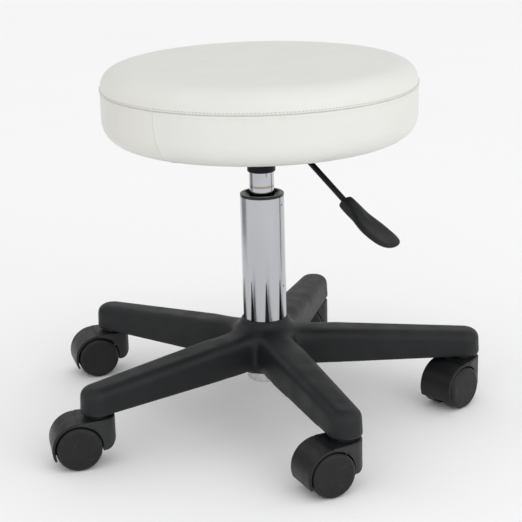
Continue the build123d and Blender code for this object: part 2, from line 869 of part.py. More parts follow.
# ================================================================ CASTERS
# one caster in its own frame: stem on the Z axis, axle towards +X
stem_flange_radius = stem_radius + 2.5
hood_top_z = arm_bottom_z - 3.0
stem_flange_top_z = arm_bottom_z - swivel_gap
stem_top_z = arm_bottom_z + stem_depth
stem_bottom_z = hood_top_z - 22.0
grip_ring_bottom_z = arm_bottom_z + 12.0
grip_ring_height = 3.0
grip_groove_radius = stem_radius - 0.9
housing_radius = arm_tip_radius - 0.7
housing_bottom_z = wheel_radius - 5.5
toe_radius = 12.0
web_end_reach = caster_trail + 10.0
tail_angle = 22.0
tail_reach = 1.2 * hood_radius
hood_boss_radius = housing_radius - 4.0
hood_boss_height = 0.8
housing_top_z = hood_top_z - hood_boss_height

caster_side = Plane(origin=(0, 0, 0), x_dir=(1, 0, 0), z_dir=(0, -1, 0))

# the stem's housing: a rounded toe in front, and sides that widen to the fender's
with BuildPart() as housing:
    with BuildSketch(caster_side):
        with BuildLine():
            Line((caster_trail, housing_top_z), (-housing_radius, housing_top_z))
            Line((-housing_radius, housing_top_z), (-housing_radius, housing_bottom_z + toe_radius))
            CenterArc(
                (toe_radius - housing_radius, housing_bottom_z + toe_radius), toe_radius, 180, 90
            )
            Line((toe_radius - housing_radius, housing_bottom_z), (caster_trail, housing_bottom_z))
            Line((caster_trail, housing_bottom_z), (caster_trail, housing_top_z))
        make_face()
    extrude(amount=hood_half_width, both=True)
    with BuildSketch(Plane.XY):
        Circle(housing_radius)
        with Locations((caster_trail, 0)):
            Rectangle(caster_trail, 2 * hood_half_width)
        make_hull()
    extrude(amount=hood_top_z, mode=Mode.INTERSECT)
    housing_top_edges = housing.faces().sort_by(Axis.Z)[-1].edges().sort_by(Axis.X)
    fillet(housing_top_edges[:-1], hood_edge_radius)

with BuildPart() as hood:
    # fender round the wheels, cut off behind and below
    with BuildSketch(caster_side):
        with Locations((caster_trail, wheel_radius)):
            Circle(hood_radius)
        with BuildLine():
            Polyline(
                (-hood_radius, housing_bottom_z),
                (web_end_reach, housing_bottom_z),
                (
                    caster_trail + tail_reach * cos(radians(tail_angle)),
                    wheel_radius - tail_reach * sin(radians(tail_angle)),
                ),
                (caster_trail + tail_reach, -hood_radius),
                (-hood_radius, -hood_radius),
                close=True,
            )
        make_face(mode=Mode.SUBTRACT)
        with Locations((-hood_radius + caster_trail / 2, wheel_radius)):
            Rectangle(2 * hood_radius, 3 * hood_radius, mode=Mode.SUBTRACT)
    extrude(amount=hood_half_width, both=True)
    fender_edges = (
        hood.edges()
        .filter_by(GeomType.CIRCLE)
        .filter_by(lambda edge: abs(abs(edge.center().Y) - hood_half_width) < 0.1)
    )
    fillet(fender_edges, hood_edge_radius)
    add(housing.part)
    # wheel spaces either side of the web
    with BuildSketch(caster_side.offset(web_half_width)):
        with Locations((caster_trail, wheel_radius)):
            Circle(wheel_radius + wheel_gap)
    extrude(amount=2 * hood_half_width, mode=Mode.SUBTRACT)
    with BuildSketch(caster_side.offset(-web_half_width)):
        with Locations((caster_trail, wheel_radius)):
            Circle(wheel_radius + wheel_gap)
    extrude(amount=-2 * hood_half_width, mode=Mode.SUBTRACT)
    # low boss round the stem, under the arm
    with BuildSketch(Plane.XY.offset(hood_top_z)):
        Circle(hood_boss_radius)
    extrude(amount=-hood_boss_height)
    # bores for the stem and the axle
    with BuildSketch(Plane.XY.offset(hood_top_z)):
        Circle(stem_radius)
    extrude(amount=-(hood_top_z - stem_bottom_z), mode=Mode.SUBTRACT)
    with BuildSketch(caster_side):
        with Locations((caster_trail, wheel_radius)):
            Circle(axle_radius)
    extrude(amount=web_half_width, both=True, mode=Mode.SUBTRACT)

stem_profile = [
    (0, stem_bottom_z),
    (stem_radius, stem_bottom_z),
    (stem_radius, hood_top_z),
    (stem_flange_radius, hood_top_z),
    (stem_flange_radius, stem_flange_top_z),
    (stem_radius, stem_flange_top_z),
    (stem_radius, grip_ring_bottom_z - running_gap),
    (grip_groove_radius, grip_ring_bottom_z - running_gap),
    (grip_groove_radius, grip_ring_bottom_z + grip_ring_height + running_gap),
    (stem_radius, grip_ring_bottom_z + grip_ring_height + running_gap),
    (stem_radius, stem_top_z - 2.0),
    (stem_radius - 2.0, stem_top_z),
    (0, stem_top_z),
]
stem_shape = turned(stem_profile)

axle_half_length = wheel_outer_face - 4.0
with BuildPart() as axle:
    with BuildSketch(caster_side):
        with Locations((caster_trail, wheel_radius)):
            Circle(axle_radius)
    extrude(amount=axle_half_length, both=True)

wheel_recess_depth = 9.0
wheel_rim_thickness = 4.5
wheel_hub_radius = 7.0


def wheel(side):
    """One wheel of a pair: a closed outer disc, hollow behind, on a blind hub."""
    inner_plane = caster_side.offset(-side * wheel_inner_face)
    width = wheel_outer_face - wheel_inner_face
    with BuildPart() as disc:
        with BuildSketch(inner_plane):
            with Locations((caster_trail, wheel_radius)):
                Circle(wheel_radius)
        extrude(amount=-side * width)
        outer = disc.faces().sort_by(Axis.Y)[-1 if side > 0 else 0]
        fillet(outer.edges(), wheel_edge_radius)
        inner = disc.faces().filter_by(GeomType.PLANE).sort_by(Axis.Y)[0 if side > 0 else -1]
        fillet(inner.edges(), 1.5)
        with BuildSketch(inner_plane):
            with Locations((caster_trail, wheel_radius)):
                Circle(wheel_radius - wheel_rim_thickness)
                Circle(wheel_hub_radius, mode=Mode.SUBTRACT)
        extrude(amount=-side * wheel_recess_depth, mode=Mode.SUBTRACT)
        with BuildSketch(inner_plane):
            with Locations((caster_trail, wheel_radius)):
                Circle(axle_radius + running_gap)
        extrude(
            amount=-side * (axle_half_length - wheel_inner_face + loose_gap), mode=Mode.SUBTRACT
        )
    return disc.part


wheel_left = wheel(1)
wheel_right = wheel(-1)

for number, heading in enumerate(caster_headings, start=1):
    arm_angle = radians(arm_angles[number - 1])
    caster_frame = Plane(
        origin=(caster_circle_radius * cos(arm_angle), caster_circle_radius * sin(arm_angle), 0),
        x_dir=(cos(radians(heading)), sin(radians(heading)), 0),
        z_dir=(0, 0, 1),
    )
    pieces = {
        "hood": hood.part,
        "stem": stem_shape,
        "axle": axle.part,
        "wheel_left": wheel_left,
        "wheel_right": wheel_right,
    }
    for piece_name, shape in pieces.items():
        with BuildPart() as placed:
            with Locations(caster_frame.location):
                add(shape)
        save(placed.part, f"caster_{number}_{piece_name}")

# spring rings that hold the stems in the base
with BuildPart() as stem_grip_rings:
    with BuildSketch(Plane.XY.offset(grip_ring_bottom_z)):
        with PolarLocations(caster_circle_radius, arm_count, start_angle=-90):
            Circle(socket_bore_radius)
            Circle(grip_groove_radius + running_gap, mode=Mode.SUBTRACT)
    extrude(amount=grip_ring_height)
save(stem_grip_rings.part, "stem_grip_rings")
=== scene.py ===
import json
import math

import bmesh
import bpy
import numpy as np
from mathutils import Matrix, Vector, noise
from mathutils.bvhtree import BVHTree


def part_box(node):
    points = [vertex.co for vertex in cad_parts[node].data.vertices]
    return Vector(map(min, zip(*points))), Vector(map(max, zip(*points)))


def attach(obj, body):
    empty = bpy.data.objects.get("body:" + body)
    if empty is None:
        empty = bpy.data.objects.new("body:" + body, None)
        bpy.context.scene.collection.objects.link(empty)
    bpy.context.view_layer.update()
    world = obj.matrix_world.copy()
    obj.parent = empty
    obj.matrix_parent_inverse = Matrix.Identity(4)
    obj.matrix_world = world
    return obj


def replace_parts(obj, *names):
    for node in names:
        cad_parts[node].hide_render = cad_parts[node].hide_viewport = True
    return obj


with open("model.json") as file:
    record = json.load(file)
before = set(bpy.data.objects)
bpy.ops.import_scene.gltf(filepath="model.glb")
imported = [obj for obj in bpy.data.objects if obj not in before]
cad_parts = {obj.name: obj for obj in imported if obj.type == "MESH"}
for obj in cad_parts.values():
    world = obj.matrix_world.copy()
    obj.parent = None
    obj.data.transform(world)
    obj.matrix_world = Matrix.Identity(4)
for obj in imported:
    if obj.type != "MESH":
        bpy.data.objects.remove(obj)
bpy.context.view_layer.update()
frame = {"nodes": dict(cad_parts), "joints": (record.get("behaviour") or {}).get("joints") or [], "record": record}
nodes = frame["nodes"]
joints = {j["name"]: j for j in frame["joints"]}

# ================================================================ sizes (m), from the frame
top_low, top_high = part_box("seat_cover_top")
board_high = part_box("seat_board")[1]
SEAT_RADIUS = top_high.x
SEAT_TOP = top_high.z
SEAM_Z = top_low.z
SEAT_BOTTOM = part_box("seat_cover_band")[0].z
BOARD_RADIUS = board_high.x
BOARD_TOP = board_high.z
SLEEVE_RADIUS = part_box("chrome_sleeve")[1].x
COLLAR_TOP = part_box("guide_bush")[1].z
RIM_Z = joints["caster_1_swivel"]["pos_m"][2]  # the base's lower rim

# the cushion
TOP_EDGE = 0.0225  # round of the foam's top edge
TOP_EASE = 0.031  # width of the cover's soft top corner
EDGE_POWER = 2.55  # how square that corner is
BOTTOM_EDGE = 0.025  # round of the edge under the board
SKIN = 0.0012  # thickness of the vinyl
FOAM_INSET = 0.0034  # depth of the foam under the cover's outside
MARGIN_WIDTH = 0.018  # vinyl turned in under the board
CROWN = 0.0012  # rise of the cushion's middle
CENTRE = 0.003  # radius at which a turned profile starts
SEAM_TUCK = 0.0030  # how far in a panel's hidden edge lies at the round seam
AROUND = 720  # even steps round the cushion
TOP_FLAT = SEAT_RADIUS - TOP_EDGE
TOP_ARC_Z = SEAT_TOP - TOP_EDGE
LOW_FLAT = SEAT_RADIUS - BOTTOM_EDGE
LOW_ARC_Z = SEAT_BOTTOM + BOTTOM_EDGE

# the old grease on the lift's tube
GREASE_RISE = 0.0085  # above the collar
GREASE_WIDTH = 0.0018  # from its middle to where it ends


# ================================================================ materials
def node(tree, kind, **settings):
    """Adds a shader node and sets its attributes, or its inputs by name."""
    made = tree.nodes.new(kind)
    for key, value in settings.items():
        name = key.replace("_", " ")
        if hasattr(made, key):
            setattr(made, key, value)
        else:
            made.inputs[name].default_value = value
    return made


def grey(level):
    return (level, level, level, 1)


def times(colour, gain):
    """A colour, brighter or darker by gain, with its alpha."""
    return tuple(min(1.0, c * gain) for c in colour) + (1.0,)


BLACK, WHITE = grey(0), grey(1)
MIX_FACTOR, MIX_FIRST, MIX_SECOND, MIX_RESULT = 0, 6, 7, 2  # a Mix node's colour sockets
COLOUR_FROM, COLOUR_TO = 0.32, 0.68  # the stretch of noise that a colour drifts over
ROUGH_FROM, ROUGH_TO = 0.3, 0.7


class Finish:
    """A Principled material whose colour, roughness and relief come from procedural noise."""

    def __init__(self, name, colour, roughness, metallic=0.0, specular=0.5, coat=0.0):
        self.material = bpy.data.materials.new(name)
        self.material.use_nodes = True
        self.tree = self.material.node_tree
        self.bsdf = self.tree.nodes["Principled BSDF"]
        self.colour = colour
        self.roughness = roughness
        self.bsdf.inputs["Metallic"].default_value = metallic
        self.bsdf.inputs["Specular IOR Level"].default_value = specular
        self.bsdf.inputs["Coat Weight"].default_value = coat
        self.place = node(self.tree, "ShaderNodeTexCoord").outputs["Object"]
        self.relief = None
        self.tint = None

    def link(self, start, end):
        self.tree.links.new(start, end)

    def noise(self, scale, detail=3.0, stretch=None, distortion=0.0):
        """Noise with features about 1 / scale metres wide."""
        place = self.place
        if stretch:
            mapping = node(self.tree, "ShaderNodeMapping")
            mapping.inputs["Scale"].default_value = stretch
            self.link(place, mapping.inputs["Vector"])
            place = mapping.outputs["Vector"]
        made = node(
            self.tree, "ShaderNodeTexNoise", Scale=scale, Detail=detail, Distortion=distortion
        )
        self.link(place, made.inputs["Vector"])
        return made.outputs["Fac"]

    def cells(self, scale):
        """Round cells about 1 / scale metres wide."""
        made = node(self.tree, "ShaderNodeTexVoronoi", feature="F1", Scale=scale)
        self.link(self.place, made.inputs["Vector"])
        return made.outputs["Distance"]

    def ramp(self, factor, stops):
        """A colour ramp through (position, colour) stops."""
        made = node(self.tree, "ShaderNodeValToRGB")
        points = made.color_ramp.elements
        while len(points) < len(stops):
            points.new(0.5)
        for point, (position, colour) in zip(points, stops):
            point.position = position
            point.color = colour
        self.link(factor, made.inputs["Fac"])
        return made.outputs["Color"]

    def mix(self, factor, first, second):
        """Blends two colours, each a socket or a colour."""
        made = node(self.tree, "ShaderNodeMix", data_type="RGBA")
        for value, place in ((factor, MIX_FACTOR), (first, MIX_FIRST), (second, MIX_SECOND)):
            if isinstance(value, bpy.types.NodeSocket):
                self.link(value, made.inputs[place])
            else:
                made.inputs[place].default_value = value
        return made.outputs[MIX_RESULT]

    def vary_colour(self, scale, low, high, stretch=None, detail=4.0):
        """Colour that drifts between low and high times the base colour."""
        fog = self.noise(scale, detail, stretch)
        stops = [(COLOUR_FROM, times(self.colour, low)), (COLOUR_TO, times(self.colour, high))]
        self.tint = self.ramp(fog, stops)
        return self

    def over(self, factor, colour):
        """Lays another colour over the tint where factor is high."""
        self.tint = self.mix(factor, self.tint, colour + (1.0,))
        return self

    def vary_roughness(self, scale, spread, stretch=None):
        """Roughness that drifts up and down by spread."""
        fog = self.noise(scale, stretch=stretch)
        made = node(self.tree, "ShaderNodeMapRange")
        made.inputs["From Min"].default_value = ROUGH_FROM
        made.inputs["From Max"].default_value = ROUGH_TO
        made.inputs["To Min"].default_value = self.roughness - spread
        made.inputs["To Max"].default_value = self.roughness + spread
        self.link(fog, made.inputs["Value"])
        self.link(made.outputs["Result"], self.bsdf.inputs["Roughness"])
        return self

    def bump(self, height, distance, strength=1.0):
        """Adds a layer of relief, distance metres deep."""
        made = node(self.tree, "ShaderNodeBump", Strength=strength, Distance=distance)
        self.link(height, made.inputs["Height"])
        if self.relief is not None:
            self.link(self.relief, made.inputs["Normal"])
        self.relief = made.outputs["Normal"]
        return self

    def edges(self, low=0.505, high=0.56):
        """High on worn outside edges."""
        worn = node(self.tree, "ShaderNodeNewGeometry").outputs["Pointiness"]
        return self.ramp(worn, [(low, BLACK), (high, WHITE)])

    def inward_faces_for_painted_shade(self):
        """High where a face doesn't look straight away from the Z axis, as on the sleeve's slit walls and bore,
        which get painted shade.
        """
        place = node(self.tree, "ShaderNodeTexCoord")
        flat = node(self.tree, "ShaderNodeVectorMath", operation="MULTIPLY")
        flat.inputs[1].default_value = (1.0, 1.0, 0.0)
        self.link(place.outputs["Object"], flat.inputs[0])
        away = node(self.tree, "ShaderNodeVectorMath", operation="NORMALIZE")
        self.link(flat.outputs["Vector"], away.inputs[0])
        turn = node(self.tree, "ShaderNodeVectorMath", operation="DOT_PRODUCT")
        self.link(away.outputs["Vector"], turn.inputs[0])
        self.link(place.outputs["Normal"], turn.inputs[1])
        return self.ramp(turn.outputs["Value"], [(0.55, WHITE), (0.80, BLACK)])

    def math(self, operation, value, number=None):
        """One step of arithmetic on a socket, with a number beside it where the step takes one."""
        made = node(self.tree, "ShaderNodeMath", operation=operation)
        self.link(value, made.inputs[0])
        if number is not None:
            made.inputs[1].default_value = number
        return made.outputs[0]

    def done(self):
        """Joins the tint and the relief to the shader, and returns the material."""
        if self.tint is not None:
            self.link(self.tint, self.bsdf.inputs["Base Color"])
        if self.relief is not None:
            self.link(self.relief, self.bsdf.inputs["Normal"])
        return self.material


def white_vinyl():
    """Soft coated vinyl: fine pebbled grain, faint warm patches and handling sheen."""
    f = Finish("white_vinyl", (0.715, 0.718, 0.685), roughness=0.40, specular=0.38)
    f.vary_colour(14.0, low=0.985, high=1.012)
    warm = f.ramp(f.noise(9.0, detail=2.0), [(0.52, BLACK), (0.75, grey(0.5))])
    f.over(warm, (0.725, 0.700, 0.650))
    f.vary_roughness(30.0, spread=0.06)
    f.bump(f.cells(1050.0), distance=0.00010, strength=0.42)
    f.bump(f.noise(2400.0, detail=2.0), distance=0.00005, strength=0.40)
    f.bump(f.noise(60.0, detail=3.0, distortion=0.4), distance=0.00045, strength=0.22)
    return f.done()


def thread():
    """Bonded thread, a little fuzzy."""
    f = Finish("stitch_thread", (0.58, 0.565, 0.51), roughness=0.62)
    f.vary_colour(900.0, low=0.90, high=1.05)
    f.vary_roughness(900.0, spread=0.08)
    f.bump(f.noise(5200.0, detail=1.0), distance=0.00010, strength=0.6)
    return f.done()


def foam():
    """Yellowed open-celled foam."""
    f = Finish("foam", (0.83, 0.76, 0.50), roughness=0.92, specular=0.2)
    f.vary_colour(160.0, low=0.9, high=1.05)
    f.vary_roughness(300.0, spread=0.05)
    f.bump(f.cells(900.0), distance=0.0006, strength=0.8)
    return f.done()


def plywood():
    """Plywood with its grain along X."""
    f = Finish("plywood", (0.56, 0.40, 0.24), roughness=0.66, specular=0.3)
    f.vary_colour(16.0, low=0.78, high=1.14, stretch=(1.0, 9.0, 60.0))
    f.vary_roughness(40.0, spread=0.08)
    f.bump(f.noise(30.0, detail=6.0, stretch=(1.0, 14.0, 14.0)), distance=0.0004, strength=0.5)
    return f.done()


def dust_cloth():
    """Thin black spun-bonded cloth with its bonded dots."""
    f = Finish("black_cloth", (0.022, 0.022, 0.024), roughness=0.88, specular=0.2)
    f.vary_colour(500.0, low=0.7, high=1.5)
    f.vary_roughness(300.0, spread=0.06)
    f.bump(f.cells(640.0), distance=0.0003, strength=0.7)
    f.bump(f.noise(2600.0, detail=3.0), distance=0.00012, strength=0.5)
    return f.done()


def black_nylon():
    """Moulded glass-filled nylon: fine spark-eroded texture, paler on rubbed edges."""
    f = Finish("black_nylon", (0.0085, 0.0095, 0.0105), roughness=0.50, specular=0.27)
    f.vary_colour(26.0, low=0.86, high=1.18)
    f.over(f.edges(), (0.022, 0.024, 0.025))
    f.vary_roughness(45.0, spread=0.07)
    f.bump(f.noise(1500.0, detail=3.0), distance=0.00012, strength=0.45)
    f.bump(f.noise(18.0, detail=2.0), distance=0.0006, strength=0.10)
    return f.done()


def black_hood():
    """Moulded caster hoods and lever paddle: smoother than the base, pale on rubbed edges."""
    f = Finish("black_hood", (0.0070, 0.0075, 0.0085), roughness=0.42, specular=0.27)
    f.vary_colour(40.0, low=0.85, high=1.2)
    f.over(f.edges(), (0.022, 0.023, 0.024))
    f.vary_roughness(70.0, spread=0.08)
    f.bump(f.noise(1900.0, detail=3.0), distance=0.00010, strength=0.4)
    return f.done()


def black_wheel():
    """Moulded nylon wheels with a few pale scuffs."""
    f = Finish("black_wheel", (0.0100, 0.0100, 0.0115), roughness=0.44, specular=0.27)
    f.vary_colour(60.0, low=0.85, high=1.2)
    scuffs = f.ramp(f.noise(260.0, detail=6.0), [(0.60, BLACK), (0.72, grey(0.35))])
    f.over(scuffs, (0.045, 0.044, 0.042))
    f.vary_roughness(90.0, spread=0.08)
    f.bump(f.noise(1200.0, detail=2.0), distance=0.00008, strength=0.4)
    return f.done()


def black_paint():
    """Satin powder coat with its orange-peel skin."""
    f = Finish("black_paint", (0.0045, 0.0045, 0.0048), roughness=0.38, specular=0.16)
    f.vary_colour(90.0, low=0.85, high=1.25)
    f.over(f.edges(0.51, 0.58), (0.02, 0.02, 0.02))
    f.vary_roughness(120.0, spread=0.06)
    f.bump(f.noise(700.0, detail=2.0), distance=0.00010, strength=0.35)
    return f.done()


def collar_plastic():
    """Glossy moulded collar at the top of the column."""
    f = Finish("black_collar", (0.006, 0.006, 0.007), roughness=0.22, specular=0.36, coat=0.10)
    f.vary_colour(120.0, low=0.8, high=1.25)
    f.vary_roughness(200.0, spread=0.06)
    f.bump(f.noise(900.0, detail=2.0), distance=0.00005, strength=0.3)
    return f.done()


def chrome_sleeve():
    """Bright chromed tube with a faint satin haze and drawn lines along it; its slit walls and bore are painted
    near black as painted shade.
    """
    f = Finish("chrome_sleeve", (0.495, 0.505, 0.530), roughness=0.18, metallic=1.0)
    f.vary_colour(30.0, low=0.955, high=1.03, stretch=(1.0, 1.0, 0.25))
    # painted shade: faces that don't look outward, the slit walls and the bore, are painted near black
    f.over(f.inward_faces_for_painted_shade(), (0.012, 0.012, 0.013))
    f.vary_roughness(55.0, spread=0.045, stretch=(1.0, 1.0, 0.3))
    f.bump(f.noise(900.0, detail=3.0, stretch=(1.0, 1.0, 0.03)), distance=0.00003, strength=0.35)
    f.bump(f.noise(24.0, detail=2.0), distance=0.0005, strength=0.05)
    return f.done()


def chrome_tube(grease_z):
    """The lift's polished tube, with a thin brown line of old grease above the collar."""
    f = Finish("chrome_tube", (0.50, 0.505, 0.54), roughness=0.085, metallic=1.0)
    f.vary_colour(60.0, low=0.95, high=1.03)
    split = node(f.tree, "ShaderNodeSeparateXYZ")
    f.link(f.place, split.inputs["Vector"])
    away = f.math("ABSOLUTE", f.math("SUBTRACT", split.outputs["Z"], grease_z))
    share = f.math("MULTIPLY", away, 1 / GREASE_WIDTH)
    grease = f.ramp(share, [(0.35, grey(0.75)), (1.0, BLACK)])
    f.over(grease, (0.24, 0.21, 0.10))
    f.vary_roughness(80.0, spread=0.03)
    f.bump(f.noise(1100.0, detail=2.0, stretch=(1.0, 1.0, 0.05)), distance=0.00002, strength=0.3)
    return f.done()


def zinc_steel():
    """Bright zinc plate: cloudy spangle and a slightly yellow cast."""
    f = Finish("zinc_steel", (0.62, 0.62, 0.60), roughness=0.33, metallic=1.0)
    f.vary_colour(240.0, low=0.82, high=1.1)
    f.vary_roughness(180.0, spread=0.09)
    f.bump(f.noise(1300.0, detail=3.0), distance=0.00006, strength=0.4)
    return f.done()


def ground_steel():
    """Ground steel with its faint rings."""
    f = Finish("ground_steel", (0.58, 0.58, 0.60), roughness=0.24, metallic=1.0)
    f.vary_colour(120.0, low=0.88, high=1.08)
    f.vary_roughness(150.0, spread=0.07)
    f.bump(f.noise(2600.0, detail=2.0, stretch=(0.1, 0.1, 1.0)), distance=0.00003, strength=0.5)
    return f.done()


def natural_nylon():
    """Uncoloured nylon."""
    f = Finish("natural_nylon", (0.72, 0.69, 0.58), roughness=0.42)
    f.vary_colour(80.0, low=0.94, high=1.05)
    f.vary_roughness(120.0, spread=0.06)
    f.bump(f.noise(1100.0, detail=2.0), distance=0.00006, strength=0.3)
    return f.done()


def black_rubber():
    """Dull black rubber."""
    f = Finish("black_rubber", (0.014, 0.014, 0.014), roughness=0.72, specular=0.3)
    f.vary_colour(200.0, low=0.8, high=1.4)
    f.vary_roughness(260.0, spread=0.07)
    f.bump(f.noise(900.0, detail=4.0), distance=0.00018, strength=0.5)
    return f.done()


def floor_paint():
    """Matt white floor."""
    f = Finish("floor_paint", (0.955, 0.955, 0.955), roughness=0.80, specular=0.15)
    f.vary_colour(2.5, low=0.995, high=1.004)
    f.vary_roughness(6.0, spread=0.04)
    return f.done()


finishes = {
    "white_vinyl": white_vinyl(),
    "foam": foam(),
    "plywood": plywood(),
    "black_cloth": dust_cloth(),
    "zinc_steel": zinc_steel(),
    "black_paint": black_paint(),
    "chrome": chrome_sleeve(),
    "ground_steel": ground_steel(),
    "black_nylon": black_nylon(),
    "black_hood": black_hood(),
    "black_wheel": black_wheel(),
    "black_collar": collar_plastic(),
    "black_rubber": black_rubber(),
    "natural_nylon": natural_nylon(),
}
tube_chrome = chrome_tube(COLLAR_TOP + GREASE_RISE)
thread_finish = thread()

slot_of = {s["node"]: s["material_slot"] for s in frame["record"]["subparts"]}
for name, thing in nodes.items():
    finish = tube_chrome if name == "pressure_tube" else finishes[slot_of[name]]
    thing.data.materials.clear()
    thing.data.materials.append(finish)


# ================================================================ mesh helpers
def link_mesh(name, points, faces, material, smooth=True):
    """A new mesh object from points and faces, with one material."""
    mesh = bpy.data.meshes.new(name)
    mesh.from_pydata([tuple(p) for p in points], [], faces)
    mesh.validate()
    mesh.polygons.foreach_set("use_smooth", [smooth] * len(mesh.polygons))
    thing = bpy.data.objects.new(name, mesh)
    bpy.context.scene.collection.objects.link(thing)
    mesh.materials.append(material)
    return thing


def point_outward(thing):
    """Turns a closed mesh's faces to look outward."""
    work = bmesh.new()
    work.from_mesh(thing.data)
    bmesh.ops.recalc_face_normals(work, faces=work.faces)
    work.to_mesh(thing.data)
    work.free()


def turned_grid(profile, angles):
    """Points of a profile of (radius, height) turned about Z: an array of angle, step, xyz."""
    r = profile[:, 0][None, :]
    z = np.broadcast_to(profile[:, 1][None, :], (len(angles), len(profile)))
    a = np.array(angles)[:, None]
    return np.stack([r * np.cos(a), r * np.sin(a), z], axis=2)


def grid_faces(around, along, closed):
    """Quads between neighbouring profiles; closed joins the profile's end to its start."""
    faces = []
    steps = along if closed else along - 1
    for i in range(around):
        j = (i + 1) % around
        for k in range(steps):
            m = (k + 1) % along
            faces.append((i * along + k, j * along + k, j * along + m, i * along + m))
    return faces


def line(start, end, count):
    """Points from start to end, without the end."""
    share = np.linspace(0, 1, count, endpoint=False)[:, None]
    return np.array(start)[None, :] * (1 - share) + np.array(end)[None, :] * share


def arc(centre, radius, first, last, count):
    """Points round an arc, in degrees, without the last."""
    a = np.radians(np.linspace(first, last, count, endpoint=False))
    return np.array([centre[0] + radius * np.cos(a), centre[1] + radius * np.sin(a)]).T


def vertex_places(mesh):
    """A mesh's vertices as rows of xyz."""
    place = np.zeros(len(mesh.vertices) * 3)
    mesh.vertices.foreach_get("co", place)
    return place.reshape(-1, 3)


def neighbour_mean(mesh):
    """A function that averages rows of values over each vertex's neighbours."""
    ends = np.zeros(len(mesh.edges) * 2, int)
    mesh.edges.foreach_get("vertices", ends)
    ends = ends.reshape(-1, 2)
    degree = np.bincount(ends.ravel(), minlength=len(mesh.vertices))[:, None]

    def mean(rows):
        total = np.zeros_like(rows)
        np.add.at(total, ends[:, 0], rows[ends[:, 1]])
        np.add.at(total, ends[:, 1], rows[ends[:, 0]])
        return total / degree
    return mean


def apply_remesh(piece, voxel_size):
    """Remeshes the active piece in even cells."""
    remesh = piece.modifiers.new("remesh", "REMESH")
    remesh.mode = "VOXEL"
    remesh.voxel_size = voxel_size
    bpy.ops.object.modifier_apply(modifier="remesh")


def turned_piece(name, points, faces, around, along, ends, material):
    """A turned mesh, closed by a fan at each end of its profile. ends: the fans' two middles."""
    points = list(map(tuple, points)) + list(ends)
    hub = len(points) - 2
    for i in range(around):
        j = (i + 1) % around
        faces.append((i * along, hub, j * along))
        faces.append((i * along + along - 1, j * along + along - 1, hub + 1))
    piece = link_mesh(name, points, faces, material)
    point_outward(piece)
    return piece


# ================================================================ the cushion
def outline(inset):
    """The cushion's outline from its top centre to the board's underside, drawn in by inset."""
    side = SEAT_RADIUS - inset
    return np.vstack([
        line((0, SEAT_TOP - inset), (TOP_FLAT, SEAT_TOP - inset), 30),
        arc((TOP_FLAT, TOP_ARC_Z), TOP_EDGE - inset, 90, 0, 12),
        line((side, TOP_ARC_Z), (side, LOW_ARC_Z), 12),
        arc((LOW_FLAT, LOW_ARC_Z), BOTTOM_EDGE - inset, 0, -90, 12),
        line((LOW_FLAT, SEAT_BOTTOM + inset), (0, SEAT_BOTTOM + inset), 24),
        np.array([[0, SEAT_BOTTOM + inset]]),
    ])


FORM_INSET = 0.002  # the simulated form, inside the cover's outside
FORM_AROUND = 96
FORM_CELL = 0.006
HELD_HEIGHT = 0.006  # of the part that the board holds still
BLOW_FRAMES = 20
BLOW_SMOOTHING = 6


def cushion_form():
    """A plain closed form of the cushion, remeshed in even cells."""
    profile = outline(FORM_INSET)
    angles = np.linspace(0, 2 * math.pi, FORM_AROUND, endpoint=False)
    grid = turned_grid(profile[1:-1], angles)
    along = len(profile) - 2
    points = [tuple(p) for p in grid.reshape(-1, 3)]
    faces = grid_faces(FORM_AROUND, along, False)
    for end, step in ((0, 0), (-1, along - 1)):
        points.append((0.0, 0.0, profile[end][1]))
        hub = len(points) - 1
        faces += [
            (i * along + step, ((i + 1) % FORM_AROUND) * along + step, hub)
            for i in range(FORM_AROUND)
        ]
    form = link_mesh("cushion_form", points, faces, finishes["white_vinyl"])
    point_outward(form)
    bpy.context.view_layer.objects.active = form
    apply_remesh(form, FORM_CELL)
    return form


def swell():
    """Blows up a copy of the cushion by cloth simulation. Returns its rest mesh and moves."""
    form = cushion_form()
    rest = vertex_places(form.data)
    held = form.vertex_groups.new(name="held")
    low = rest[:, 2] < SEAT_BOTTOM + HELD_HEIGHT
    on_board = low & (np.hypot(rest[:, 0], rest[:, 1]) < BOARD_RADIUS)
    held.add([int(i) for i in np.nonzero(on_board)[0]], 1.0, "REPLACE")
    cloth = form.modifiers.new("cloth", "CLOTH")
    cloth.settings.quality = 5
    cloth.settings.mass = 0.4
    cloth.settings.tension_stiffness = 30
    cloth.settings.compression_stiffness = 30
    cloth.settings.shear_stiffness = 10
    cloth.settings.bending_stiffness = 2.0
    cloth.settings.use_pressure = True
    cloth.settings.uniform_pressure_force = 4.0
    cloth.settings.vertex_group_mass = "held"
    cloth.settings.effector_weights.gravity = 0.0
    cloth.point_cache.frame_start = 1
    cloth.point_cache.frame_end = BLOW_FRAMES
    scene = bpy.context.scene
    for step in range(1, BLOW_FRAMES + 1):
        scene.frame_set(step)
    shown = form.evaluated_get(bpy.context.evaluated_depsgraph_get())
    moves = vertex_places(shown.data) - rest
    faces = [tuple(p.vertices) for p in form.data.polygons]
    mean = neighbour_mean(form.data)
    for _ in range(BLOW_SMOOTHING):
        moves = 0.5 * moves + 0.5 * mean(moves)
    bpy.data.objects.remove(form)
    scene.frame_set(1)
    return rest, faces, moves


MEASURED = 0.02  # reach of the middle and the side that the padding is measured over
EASE_START, EASE_SPAN = 0.7, 0.3  # of the radius: where the side's spread is taken out
MOST_MOVE = 0.006
TINY = 1e-6


